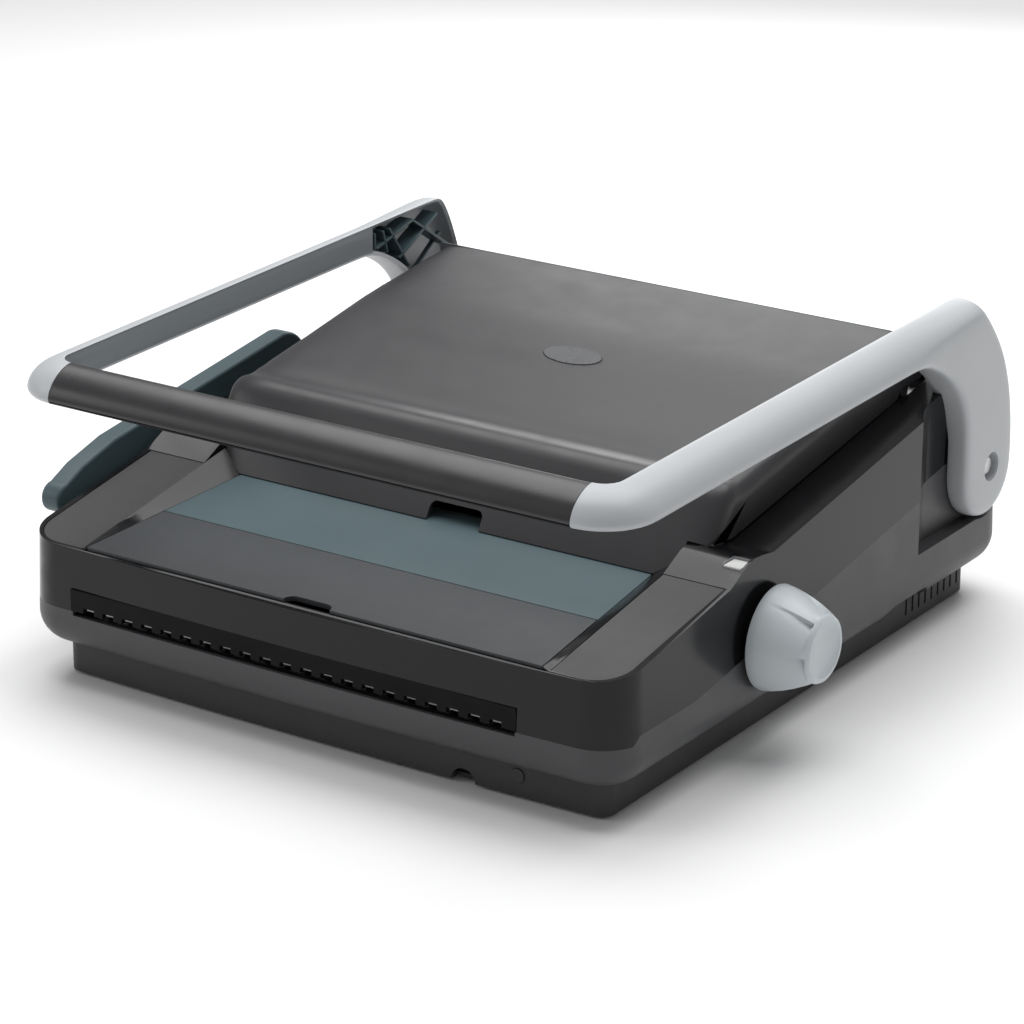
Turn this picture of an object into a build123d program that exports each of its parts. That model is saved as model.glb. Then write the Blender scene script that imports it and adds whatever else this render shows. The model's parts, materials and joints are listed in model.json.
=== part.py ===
from build123d import *
import math
import os

# Comb binding machine for A4 and letter paper. Millimetres.
# +X is the machine's right, +Y its rear, +Z up. The origin is on the table, at the centre of the base.

# ---- Driving dimensions -------------------------------------------------------------------------

WALL = 3.0                 # plastic shell thickness
GAP = 0.4                  # air between pieces that move past each other
SEAT = 0.05                # air between pieces that only lie against each other
RUN = 0.05                 # radial clearance of a shaft in its bush

# Housing
HALF_WIDTH = 209.0         # widest half-width of the housing
FRONT = -232.0             # front of the bowed face
REAR = 229.0               # rear face of the housing
BOW = 3.5                  # how far the front face bows out
CORNER = 28.0              # plan radius of the housing corners
TUCK = 19.0                # radius that draws the lower housing in to the base
FOOT_HEIGHT = 1.5          # rubber feet below the base pan
BASE_TOP = 22.0            # top of the base pan's wall
BASE_WALL = 3.0
BASE_FLOOR = 2.5
SIDE_LEAN = 1.8            # degrees that the housing sides lean in

# Top line of the housing sides, from the front edge to the rear
EDGE_Z = 82.0              # start of the front edge's round
EDGE_R = 7.0               # front edge's round
PLATE_SLOPE = 0.161        # slope of the two side plates
PLATE_Z = 124.8            # height of the plates' plane above the origin
HUMP_FRONT = -109.0
HUMP_TOP = -83.0
HUMP_REAR = -62.0
HUMP_HIGH = 117.3
DECK_SLOPE = 0.15          # slope of the rear deck
DECK_Z = 124.0
DECK_END = 184.0
REAR_SHOULDER = 34.0       # radius of the shoulder behind the deck

# Seam between the upper and the lower housing
SEAM_FRONT = 49.0
SEAM_SIDE = 54.0
SEAM_STEP = -205.0
SEAM_BEND = -146.0
SEAM_SLOPE = 0.147

# Tray and well
TRAY_HALF = 162.4          # half-width between the side plates
TRAY_FLOOR_HALF = 158.7    # half-width of the tray floor at its front
TRAY_TAPER = 0.095         # how much narrower each side gets per millimetre to the rear
TRAY_FRONT = -226.0
FLOOR_Z = 90.0             # tray floor at the front edge
FLOOR_SLOPE = 0.0625
PANEL_THICK = 2.5
COVER_REAR = -162.0        # line between the front cover and the slate panel
WELL_REAR = 158.0
PLATE_OUTER = 203.0        # outer seam of the side plates
PLATE_THICK = 2.0
COMB_DECK_Z = 92.0

# Punching
PITCH = 14.2875            # comb pitch, 9/16 inch
HOLES = 21
ROW_X = -12.5              # centre of the row of holes
PIN_W = 8.0
PIN_D = 3.0
PIN_Y = -215.0
DIE_TOP = 46.5
PAPER_GAP = 3.0
DIE_THICK = 4.5
STRIPPER_THICK = 5.5
PUNCH_STROKE = 12.0
THROAT_LEFT = -168.0
THROAT_RIGHT = 143.0
THROAT_TOP = 62.5

# Handle
PIVOT_Y = 193.5
PIVOT_Z = 91.0
LEG_R = 32.6
ARM_OUTER = 212.5
ARM_INNER = 190.0
LEG_INNER = 198.3
LEG_AIR = 1.6              # air around the legs in their pockets
COVE_Z = 58.0              # bottom of the recess that leads in to the leg pockets
STRIP_Z = 158.0            # above this the arms come in to ARM_INNER
ARM_WALL = 3.0
ARM_DEPTH = 20.0           # height of the straight arm
BAR_HALF = 178.5
HANDLE_DOWN = 8.0          # degrees below the resting pose
HANDLE_UP = 70.0
SHAFT_R = 8.0
DRIVE_MODULE = 1.5
DRIVE_TEETH = 16

# Side frames and slides
FRAME_X = 179.0
FRAME_T = 3.0
SLIDE_X = 171.0
SLIDE_T = 5.0
CAM_PIN_Y = -202.0
CAM_PIN_Z = 66.0
CAM_PIN_R = 3.0

# Margin knob
KNOB_Y = -70.0
KNOB_Z = 67.0
KNOB_X = 211.0
KNOB_BASE_R = 31.0
KNOB_TIP_R = 20.0
KNOB_LENGTH = 35.0
KNOB_SHAFT_R = 3.0
KNOB_MODULE = 1.0
KNOB_TEETH = 10
MARGIN_X = 150.0

# Comb opener
LEVER_Y = 42.0
LEVER_Z = 115.0
LEVER_X = 214.6
LEVER_THICK = 14.0
LEVER_BOSS_R = 24.0
LEVER_NOSE_Y = -184.0
LEVER_SHAFT_R = 5.0
LEVER_MODULE = 1.5
LEVER_TEETH = 20
OPENER_RACK_X = 155.0
FINGER_Y = -40.0

# Lid
LID_HALF = 177.5
LID_REAR = 168.0
LID_HINGE_Y = 156.0
LID_HINGE_Z = 163.0
LID_NOSE_HALF = 144.3
LID_LIP_Y = -95.5
LID_WALL = 3.0
BADGE_Y = 47.0

# Chip drawer, drawn out to the left
DRAWER_FRONT = -204.5
DRAWER_REAR = -150.0
DRAWER_TOP = 20.0

# Small pieces
COVER_THICK = 3.0
COVER_PIN_R = 1.0
WINDOW_X = 192.5
WINDOW_Y = -96.0
WINDOW_W = 12.0
WINDOW_D = 13.0
LANDING_SINK = 2.0         # how far the lid's rear landing is sunk below the deck
VENTS = 10
VENT_PITCH = 8.2
VENT_FIRST = 131.5
PLUG_X = 133.0
NOTCH_X = 97.0
FOOT_R = 9.0
BOSS_PITCH_X = 340.0       # spacing of the base pan's screw bosses
BOSS_PITCH_Y = 270.0
REAR_COVER_HALF = 170.0
REAR_COVER_LOW = 50.0
REAR_COVER_HIGH = 104.0
SLIDE_LOW = 48.0
SLIDE_TOP = 58.0
LIP_NOTCH_X = 9.0
TRIM_FRONT = 162.5
TRIM_LOW = 152.0
HINGE_X = 165.5
HINGE_PIN_R = 2.5
BRACKET_THICK = 4.0
BRACKET_HALF = 5.0         # half the length of a hinge bracket
BRACKET_AIR = 0.8          # room for a bracket in its slot
BADGE_LONG = 40.0
BADGE_SHORT = 21.0
CAP_INNER_R = 11.5         # plan radius of the inside of the handle's corners
CAP_Y = -198.0
ARM_TOP = 195.5            # top inner edge of the arm at CAP_Y
ARM_SLOPE = 0.0143
FLARE_FRONT = 104.0
COVER_FROM = -180.0        # front end of the arm's inner cover
BAR_CORE_R = 6.0
BAR_CORE_Z = 183.5
BAR_SPLIT_Z = 178.0        # joint between the bar's shell and its underside
SCREW_HEAD_R = 9.0
SCREW_R = 1.8

PRESSURE_ANGLE = math.radians(25)
BACKLASH = 0.3

# ---- Derived sizes ------------------------------------------------------------------------------

DRIVE_R = DRIVE_MODULE * DRIVE_TEETH / 2
KNOB_R = KNOB_MODULE * KNOB_TEETH / 2
LEVER_R = LEVER_MODULE * LEVER_TEETH / 2
HANDLE_SWING = math.radians(HANDLE_UP + HANDLE_DOWN)
SLIDE_TRAVEL = DRIVE_R * HANDLE_SWING
SLIDE_FORWARD = DRIVE_R * math.radians(HANDLE_UP)
SLIDE_BACK = DRIVE_R * math.radians(HANDLE_DOWN)
CAM_SLOPE = PUNCH_STROKE / SLIDE_TRAVEL
PUNCH_LIFT = CAM_SLOPE * SLIDE_FORWARD
STRIPPER_Z = DIE_TOP + PAPER_GAP
HOLE_X = [ROW_X + (i - (HOLES - 1) / 2) * PITCH for i in range(HOLES)]
SIDES = (-1, 1)
BASE_Z = FOOT_HEIGHT
FLOOR_TOP = BASE_Z + BASE_FLOOR
BASE_FRONT = FRONT + TUCK
BASE_REAR = REAR - TUCK
BASE_HALF = HALF_WIDTH - TUCK
LANDING_FRONT = LID_HINGE_Y - 16
LANDING_REAR = LID_REAR + 9
LANDING_HALF = LID_HALF + 1.5
LANDING_Z = DECK_Z + DECK_SLOPE * LANDING_FRONT - LANDING_SINK
COVER_HINGE_Y = COVER_REAR - COVER_THICK / 2
COVER_HINGE_Z = FLOOR_Z + FLOOR_SLOPE * (COVER_REAR - FRONT) - COVER_THICK / 2
WINDOW_Z = HUMP_HIGH - 2.2


def plate_z(y):
    return PLATE_Z + PLATE_SLOPE * y


def deck_z(y):
    return DECK_Z + DECK_SLOPE * y


def floor_z(y):
    return FLOOR_Z + FLOOR_SLOPE * (y - FRONT)


def arm_top(y):
    return ARM_TOP + ARM_SLOPE * (y - CAP_Y)


def floor_half(y):
    return TRAY_FLOOR_HALF - TRAY_TAPER * (y - TRAY_FRONT)


def seam_z(y):
    return SEAM_SIDE + SEAM_SLOPE * (y - SEAM_BEND)


def side_plane(x):
    """The YZ plane at x, with sketch x along +Y and sketch y along +Z."""
    return Plane.YZ.offset(x)


def slab(points, x_from, x_to):
    """A flat plate cut to an outline in Y and Z, from x_from to x_to."""
    with BuildPart() as plate:
        with BuildSketch(side_plane(x_from)):
            with BuildLine():
                Polyline(*points, close=True)
            make_face()
        extrude(amount=x_to - x_from)
    return plate.part


def block(x_from, x_to, y_from, y_to, z_from, z_to):
    """A rectangular block between two corners."""
    with BuildPart() as brick:
        with BuildSketch(Plane.XY.offset(z_from)):
            with Locations(((x_from + x_to) / 2, (y_from + y_to) / 2)):
                Rectangle(x_to - x_from, y_to - y_from)
        extrude(amount=z_to - z_from)
    return brick.part


def rod(y, z, radius, x_from, x_to):
    """A round bar along X."""
    with BuildPart() as bar:
        with BuildSketch(side_plane(x_from)):
            with Locations((y, z)):
                Circle(radius)
        extrude(amount=x_to - x_from)
    return bar.part


def ring(y, z, outer, inner, x_from, x_to):
    """A plain bush along X."""
    with BuildPart() as bush:
        with BuildSketch(side_plane(x_from)):
            with Locations((y, z)):
                Circle(outer)
                Circle(inner, mode=Mode.SUBTRACT)
        extrude(amount=x_to - x_from)
    return bush.part


def both_sides(shape):
    """The shape and its mirror image in the machine's middle plane."""
    return Compound([shape, shape.mirror(Plane.YZ)])


def housing_plan(inset):
    """Plan outline of the housing, drawn in by inset, with a bowed front."""
    side = HALF_WIDTH - inset
    front = FRONT + inset
    rear = REAR - inset
    with BuildSketch(mode=Mode.PRIVATE) as plan:
        with BuildLine():
            ThreePointArc((-side, front + BOW), (0, front), (side, front + BOW))
            Polyline((side, front + BOW), (side, rear), (-side, rear), (-side, front + BOW))
        make_face()
        fillet(plan.vertices(), radius=CORNER - inset)
    return plan.sketch


def top_line(drop):
    """Points of the housing's top, front to rear, lowered by drop."""
    return [
        (HUMP_FRONT, plate_z(HUMP_FRONT) - drop),
        (HUMP_TOP - 8, HUMP_HIGH - 1.5 - drop),
        (HUMP_TOP, HUMP_HIGH - drop),
        (HUMP_TOP + 9, HUMP_HIGH - 0.6 - drop),
        (HUMP_REAR, deck_z(HUMP_REAR) - drop),
        (DECK_END, deck_z(DECK_END) - drop),
    ]


def housing_block(inset, drop):
    """The whole housing as one solid block, drawn in by inset and lowered by drop."""
    front = FRONT + inset
    rear = REAR - inset
    shoulder_z = deck_z(DECK_END) - drop
    with BuildPart() as body:
        with BuildSketch(Plane.XY.offset(BASE_TOP + inset)):
            add(housing_plan(inset))
        extrude(amount=150, taper=SIDE_LEAN)
        with BuildSketch(side_plane(0)):
            with BuildLine():
                Line((front, 0), (front, EDGE_Z - drop))
                ThreePointArc(
                    (front, EDGE_Z - drop),
                    (front + EDGE_R * 0.3, EDGE_Z + EDGE_R * 0.7 - drop),
                    (front + EDGE_R, plate_z(front + EDGE_R) - drop),
                )
                Polyline((front + EDGE_R, plate_z(front + EDGE_R) - drop), *top_line(drop))
                Polyline(
                    (DECK_END, shoulder_z),
                    (DECK_END + REAR_SHOULDER * 0.7, shoulder_z - REAR_SHOULDER * 0.35),
                    (rear, shoulder_z - REAR_SHOULDER),
                    (rear, 0),
                    (front, 0),
                )
            make_face()
        extrude(amount=HALF_WIDTH + 10, both=True, mode=Mode.INTERSECT)
        bottom = body.edges().group_by(Axis.Z)[0]
        fillet(bottom, radius=TUCK - inset)
    return body.part


def above_seam():
    """Everything above the seam, as a block to cut with."""
    return slab(
        [
            (FRONT - 20, SEAM_FRONT),
            (SEAM_STEP - 5, SEAM_FRONT),
            (SEAM_STEP, SEAM_SIDE),
            (SEAM_BEND, SEAM_SIDE),
            (REAR + 20, seam_z(REAR + 20)),
            (REAR + 20, 300),
            (FRONT - 20, 300),
        ],
        -HALF_WIDTH - 20,
        HALF_WIDTH + 20,
    )


def leg_pocket(depth):
    """Room beside the body for the handle's legs, on the right side, made larger by depth."""
    radius = LEG_R + LEG_AIR + depth
    with BuildPart() as pocket:
        with BuildSketch(side_plane(LEG_INNER - LEG_AIR / 2 - depth)):
            with BuildLine():
                ThreePointArc(
                    (PIVOT_Y - radius, PIVOT_Z),
                    (PIVOT_Y - radius * math.sqrt(0.5), PIVOT_Z - radius * math.sqrt(0.5)),
                    (PIVOT_Y, PIVOT_Z - radius),
                )
                Polyline(
                    (PIVOT_Y, PIVOT_Z - radius),
                    (REAR + 20, PIVOT_Z - radius),
                    (REAR + 20, 200),
                    (PIVOT_Y - radius, 200),
                    (PIVOT_Y - radius, PIVOT_Z),
                )
            make_face()
        extrude(amount=40)
    return pocket.part


def cove(depth):
    """The recess that leads the upper housing's side in to the leg pocket, on the right side."""
    inner = LEG_INNER - LEG_AIR / 2 - depth
    with BuildPart() as recess:
        with BuildSketch(Plane.XY.offset(COVE_Z - depth)):
            with BuildLine():
                Spline(
                    (HALF_WIDTH + 1, 104 - depth),
                    (inner + 3.5, 122 - depth),
                    (inner, 137 - depth),
                    tangents=[(-0.25, 1), (0, 1)],
                )
                Polyline(
                    (inner, 137 - depth),
                    (inner, REAR + 20),
                    (HALF_WIDTH + 20, REAR + 20),
                    (HALF_WIDTH + 20, 104 - depth),
                    (HALF_WIDTH + 1, 104 - depth),
                )
            make_face()
        extrude(amount=120)
    return recess.part


def pinion_blank(module, teeth, y, z, x_from, x_to, bore, point_up):
    """A straight-cut pinion on a shaft along X, with one tooth pointing down, or up."""
    pitch_r = module * teeth / 2
    base_r = pitch_r * math.cos(PRESSURE_ANGLE)
    root_r = pitch_r - 1.15 * module
    tip_r = pitch_r + 0.9 * module
    half_tooth = math.pi / (2 * teeth) - BACKLASH / (2 * pitch_r)
    at_pitch = math.tan(PRESSURE_ANGLE) - PRESSURE_ANGLE

    def half_angle(radius):
        roll = math.acos(min(1.0, base_r / radius))
        return half_tooth + at_pitch - (math.tan(roll) - roll)

    start_r = max(root_r, base_r)
    flank = [start_r + (tip_r - start_r) * i / 5 for i in range(6)]
    points = []
    for tooth in range(teeth):
        middle = 2 * math.pi * tooth / teeth + (math.pi / 2 if point_up else -math.pi / 2)
        rising = [(root_r, -half_angle(start_r))] + [(r, -half_angle(r)) for r in flank]
        falling = [(r, half_angle(r)) for r in reversed(flank)] + [(root_r, half_angle(start_r))]
        for radius, angle in rising + falling:
            points.append(
                (y + radius * math.cos(middle + angle), z + radius * math.sin(middle + angle))
            )
    with BuildPart() as gear:
        with BuildSketch(side_plane(x_from)):
            with BuildLine():
                Polyline(*[p for i, p in enumerate(points) if i == 0 or p != points[i - 1]], close=True)
            make_face()
            with Locations((y, z)):
                Circle(bore, mode=Mode.SUBTRACT)
        extrude(amount=x_to - x_from)
    return gear.part


def rack_teeth(module, y_mesh, y_from, y_to, pitch_z):
    """Top outline of a rack, rear to front, with a tooth gap centred on y_mesh."""
    pitch = math.pi * module
    slant = math.tan(PRESSURE_ANGLE)
    half = pitch / 4 - BACKLASH / 2
    tip = 0.8 * module
    root = 1.2 * module
    first = math.ceil((y_from - y_mesh) / pitch - 0.5 + 0.5)
    last = math.floor((y_to - y_mesh) / pitch - 0.5 - 0.5)
    points = []
    for count in range(last, first - 1, -1):
        middle = y_mesh + (count + 0.5) * pitch
        points.append((middle + half + root * slant, pitch_z - root))
        points.append((middle + half - tip * slant, pitch_z + tip))
        points.append((middle - half + tip * slant, pitch_z + tip))
        points.append((middle - half - root * slant, pitch_z - root))
    return points


# ---- Housing ------------------------------------------------------------------------------------

with BuildPart() as cavity:
    add(housing_block(WALL, WALL))
    for side in (cove(WALL), leg_pocket(WALL)):
        add(both_sides(side), mode=Mode.SUBTRACT)

with BuildPart() as shell:
    add(housing_block(0, 0))
    for side in (cove(0), leg_pocket(0)):
        add(both_sides(side), mode=Mode.SUBTRACT)
    add(cavity.part, mode=Mode.SUBTRACT)
    # paper throat through the front wall
    add(block(THROAT_LEFT, THROAT_RIGHT, FRONT - 5, FRONT + 10, DIE_TOP, STRIPPER_Z), mode=Mode.SUBTRACT)


def inlay_outline(margin):
    """Plan of the right side plate's bed, drawn in by margin."""
    with BuildSketch(mode=Mode.PRIVATE) as plan:
        with BuildLine():
            Polyline(
                (TRAY_HALF + margin, TRAY_FRONT + 1 + margin),
                (PLATE_OUTER - margin, TRAY_FRONT + 1 + margin),
                (PLATE_OUTER - margin, HUMP_FRONT - 0.5 - margin),
                (TRAY_HALF + margin, HUMP_FRONT - 0.5 - margin),
                close=True,
            )
        make_face()
        fillet(plan.vertices().sort_by(Axis.X)[-2:].sort_by(Axis.Y)[0], radius=CORNER - 7)
    return plan.sketch


def inlay(margin, z_low, z_high):
    """The right side plate, lying between two heights measured from the plates' plane."""
    with BuildPart() as plate:
        with BuildSketch(Plane.XY.offset(60)):
            add(inlay_outline(margin))
        extrude(amount=80)
        add(
            slab(
                [
                    (FRONT, plate_z(FRONT) + z_low),
                    (HUMP_FRONT, plate_z(HUMP_FRONT) + z_low),
                    (HUMP_FRONT, plate_z(HUMP_FRONT) + z_high),
                    (FRONT, plate_z(FRONT) + z_high),
                ],
                0,
                HALF_WIDTH,
            ),
            mode=Mode.INTERSECT,
        )
    return plate.part


def tray_wall():
    """The right sloping side of the tray, from the side plate's edge down to the floor."""
    rear = LID_LIP_Y + 16
    with BuildPart() as wall:
        for y, base in ((TRAY_FRONT, 3.5), (rear, 6.0)):
            with BuildSketch(Plane.XZ.offset(-y)):
                with BuildLine():
                    Polyline(
                        (TRAY_HALF + 2.5, plate_z(y) - 1.2),
                        (TRAY_HALF, plate_z(y) - 0.2),
                        (floor_half(y), floor_z(y) - 0.1),
                        (floor_half(y), floor_z(y) - base),
                        (TRAY_HALF + 2.5, floor_z(y) - base),
                        close=True,
                    )
                make_face()
        loft(ruled=True)
    return wall.part


WELL_WALL = 2.5
with BuildPart() as upper_housing:
    add(shell.part)
    add(above_seam(), mode=Mode.INTERSECT)
    # the tray and the well under the lid are open at the top
    add(block(-TRAY_HALF, TRAY_HALF, TRAY_FRONT, WELL_REAR, 70, 200), mode=Mode.SUBTRACT)
    well_side = slab(
        [(TRAY_FRONT, 84), *top_line(1.0)[:-1], (WELL_REAR + WELL_WALL, deck_z(WELL_REAR) - 1.0),
         (WELL_REAR + WELL_WALL, COMB_DECK_Z - PANEL_THICK), (TRAY_FRONT, 84)][:-1],
        TRAY_HALF,
        TRAY_HALF + WELL_WALL,
    )
    add(both_sides(well_side))
    add(block(-TRAY_HALF - 1, TRAY_HALF + 1, WELL_REAR, WELL_REAR + WELL_WALL,
              COMB_DECK_Z - PANEL_THICK, deck_z(WELL_REAR) - 1))
    add(both_sides(tray_wall()))
    # beds of the two side plates
    add(both_sides(inlay(0, -PLATE_THICK, 20)), mode=Mode.SUBTRACT)
    # sunken landing for the back of the lid
    add(block(-LANDING_HALF - WALL, LANDING_HALF + WALL, LANDING_FRONT, LANDING_REAR + WALL,
              LANDING_Z - 2, deck_z(LANDING_FRONT) - 1))
    add(block(-LANDING_HALF, LANDING_HALF, LANDING_FRONT, LANDING_REAR, LANDING_Z, 200), mode=Mode.SUBTRACT)
    add(block(-TRAY_HALF, TRAY_HALF, LANDING_FRONT - 5, WELL_REAR, 70, 200), mode=Mode.SUBTRACT)
    # window for the throat panel
    add(block(THROAT_LEFT - 1, THROAT_RIGHT + 1, FRONT - 5, FRONT + 10, SEAM_FRONT - 1, THROAT_TOP + 1),
        mode=Mode.SUBTRACT)
    # holes for the handle shaft, the knob shaft, the lever shaft and the cover's hinge pins
    add(rod(PIVOT_Y, PIVOT_Z, SHAFT_R + 1, -HALF_WIDTH, HALF_WIDTH), mode=Mode.SUBTRACT)
    add(rod(KNOB_Y, KNOB_Z, KNOB_SHAFT_R + 1, 0, HALF_WIDTH + 1), mode=Mode.SUBTRACT)
    add(rod(LEVER_Y, LEVER_Z, LEVER_SHAFT_R + 0.8, -HALF_WIDTH, TRAY_HALF + 5), mode=Mode.SUBTRACT)
    add(rod(COVER_HINGE_Y, COVER_HINGE_Z, COVER_PIN_R + RUN, -TRAY_HALF, TRAY_HALF), mode=Mode.SUBTRACT)
    # pocket for the scale window on the right hump
    add(block(WINDOW_X, WINDOW_X + WINDOW_W, WINDOW_Y, WINDOW_Y + WINDOW_D, WINDOW_Z - 1.6, 200),
        mode=Mode.SUBTRACT)

with BuildPart() as lower_housing:
    add(shell.part)
    add(above_seam(), mode=Mode.SUBTRACT)
    with BuildSketch(Plane.XY.offset(BASE_TOP - 2)):
        add(housing_plan(TUCK + BASE_WALL))
    extrude(amount=WALL + 6, mode=Mode.SUBTRACT)
    # room for the drawer's face is left below; a finger scoop sits under the right side
    with BuildSketch(side_plane(BASE_HALF - 8)):
        with Locations((104, BASE_TOP - 2)):
            SlotCenterToCenter(34, 26)
    extrude(amount=40, mode=Mode.SUBTRACT)
    add(rod(PIVOT_Y, PIVOT_Z, SHAFT_R + 1, -HALF_WIDTH, HALF_WIDTH), mode=Mode.SUBTRACT)
    add(rod(KNOB_Y, KNOB_Z, KNOB_SHAFT_R + 1, 0, HALF_WIDTH + 1), mode=Mode.SUBTRACT)
    # rear opening, closed by the rear cover
    add(block(-REAR_COVER_HALF, REAR_COVER_HALF, REAR - 10, REAR + 5, REAR_COVER_LOW, REAR_COVER_HIGH),
        mode=Mode.SUBTRACT)

with BuildPart() as base_pan:
    with BuildSketch(Plane.XY.offset(BASE_Z)):
        add(housing_plan(TUCK))
    extrude(amount=BASE_TOP - BASE_Z)
    with BuildSketch(Plane.XY.offset(FLOOR_TOP)):
        add(housing_plan(TUCK + BASE_WALL))
    extrude(amount=BASE_TOP, mode=Mode.SUBTRACT)
    # mouth of the chip drawer
    add(block(-BASE_HALF - 5, -BASE_HALF + 5, DRAWER_FRONT - GAP, DRAWER_REAR + GAP,
              FLOOR_TOP + SEAT, DRAWER_TOP + GAP), mode=Mode.SUBTRACT)
    # cooling slots in the right wall
    for i in range(VENTS):
        y = VENT_FIRST + i * VENT_PITCH
        add(block(BASE_HALF - 5, BASE_HALF + 5, y - 1.1, y + 1.1, 8, BASE_TOP - 1.5), mode=Mode.SUBTRACT)
    # cable notch and plug hole in the front wall
    with BuildSketch(Plane.XZ.offset(-BASE_FRONT + 5)):
        with Locations((NOTCH_X, BASE_Z)):
            Circle(8)
        with Locations((PLUG_X, 14)):
            Circle(4.5)
    extrude(amount=-12, mode=Mode.SUBTRACT)
    # screw bosses
    with BuildSketch(Plane.XY.offset(FLOOR_TOP)):
        with GridLocations(BOSS_PITCH_X, BOSS_PITCH_Y, 2, 2):
            Circle(5)
    extrude(amount=14)
    with BuildSketch(Plane.XY.offset(BASE_Z)):
        with GridLocations(BOSS_PITCH_X, BOSS_PITCH_Y, 2, 2):
            Circle(SCREW_R + 0.2)
    extrude(amount=14 + BASE_FLOOR, mode=Mode.SUBTRACT)

with BuildPart() as rubber_feet:
    with BuildSketch():
        with GridLocations(300, 340, 2, 2):
            Circle(FOOT_R)
        # one more under the middle keeps the pan from bowing when punching
        Circle(FOOT_R)
    extrude(amount=FOOT_HEIGHT)

with BuildPart() as base_screws:
    with BuildSketch(Plane.XY.offset(BASE_Z)):
        with GridLocations(BOSS_PITCH_X, BOSS_PITCH_Y, 2, 2):
            Circle(SCREW_R)
    extrude(amount=12)

with BuildPart() as screw_plug:
    with BuildSketch(Plane.XZ.offset(-BASE_FRONT - 1.0)):
        with Locations((PLUG_X, 14)):
            Circle(4.3)
    extrude(amount=-3.5)

with BuildPart() as rear_cover:
    add(block(-REAR_COVER_HALF + GAP, REAR_COVER_HALF - GAP, REAR - WALL - 0.5, REAR - 1.2,
              REAR_COVER_LOW + GAP, REAR_COVER_HIGH - GAP))

with BuildPart() as right_plate:
    add(inlay(0.25, -PLATE_THICK, -0.15))

with BuildPart() as left_plate:
    add(right_plate.part.mirror(Plane.YZ))

with BuildPart() as throat_panel:
    add(block(THROAT_LEFT - 0.7, THROAT_RIGHT + 0.7, FRONT + 2.2, FRONT + BOW + 2.2,
              STRIPPER_Z + 0.3, THROAT_TOP + 0.7))
    for x in HOLE_X:
        add(block(x - PIN_W / 2, x + PIN_W / 2, FRONT, FRONT + 10, STRIPPER_Z, STRIPPER_Z + 3.6),
            mode=Mode.SUBTRACT)

with BuildPart() as scale_window:
    add(block(WINDOW_X + 0.2, WINDOW_X + WINDOW_W - 0.2, WINDOW_Y + 0.2, WINDOW_Y + WINDOW_D - 0.2,
              WINDOW_Z - 0.6, WINDOW_Z + 1.2))

with BuildPart() as scale_dial:
    add(block(WINDOW_X + 0.6, WINDOW_X + WINDOW_W - 0.6, WINDOW_Y + 0.6, WINDOW_Y + WINDOW_D - 0.6,
              WINDOW_Z - 1.6, WINDOW_Z - 0.6))


def floor_plan(y_from, y_to, margin):
    """Plan of a tray floor panel that follows the tray's narrowing sides."""
    with BuildSketch(mode=Mode.PRIVATE) as plan:
        with BuildLine():
            Polyline(
                (-floor_half(y_from) + margin, y_from),
                (floor_half(y_from) - margin, y_from),
                (floor_half(y_to) - margin, y_to),
                (-floor_half(y_to) + margin, y_to),
                close=True,
            )
        make_face()
    return plan.sketch


def floor_panel(y_from, y_to, margin, thick):
    """A tray floor panel, level across and rising gently to the rear."""
    with BuildPart() as panel:
        with BuildSketch(Plane.XY.offset(FLOOR_Z - 30)):
            add(floor_plan(y_from, y_to, margin))
        extrude(amount=60)
        add(
            slab(
                [
                    (y_from - 1, floor_z(y_from - 1) - thick),
                    (y_to + 1, floor_z(y_to + 1) - thick),
                    (y_to + 1, floor_z(y_to + 1)),
                    (y_from - 1, floor_z(y_from - 1)),
                ],
                -TRAY_HALF,
                TRAY_HALF,
            ),
            mode=Mode.INTERSECT,
        )
    return panel.part


APRON_REAR = LID_LIP_Y + 17
with BuildPart() as apron_panel:
    add(floor_panel(COVER_REAR + 0.9, APRON_REAR, 0.3, PANEL_THICK))

with BuildPart() as punch_cover:
    add(floor_panel(TRAY_FRONT + GAP, COVER_REAR, 0.6, COVER_THICK))
    with BuildSketch(Plane.XY.offset(FLOOR_Z - 10)):
        with Locations((0, TRAY_FRONT + GAP)):
            SlotCenterToCenter(20, 12)
    extrude(amount=20, mode=Mode.SUBTRACT)
    add(rod(COVER_HINGE_Y, COVER_HINGE_Z, COVER_PIN_R, -TRAY_HALF, TRAY_HALF), mode=Mode.SUBTRACT)

with BuildPart() as cover_pins:
    pin_from = floor_half(COVER_HINGE_Y) - 8
    add(both_sides(rod(COVER_HINGE_Y, COVER_HINGE_Z, COVER_PIN_R, pin_from, pin_from + 12)))

with BuildPart() as comb_deck:
    add(block(-TRAY_HALF + 0.2, TRAY_HALF - 0.2, APRON_REAR + 0.3, WELL_REAR - 0.2,
              COMB_DECK_Z - PANEL_THICK, COMB_DECK_Z))
    add(block(-floor_half(APRON_REAR), floor_half(APRON_REAR), APRON_REAR + 0.3, APRON_REAR + 2.8,
              COMB_DECK_Z - PANEL_THICK, floor_z(APRON_REAR)))

# ---- Frames and bushes --------------------------------------------------------------------------

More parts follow.
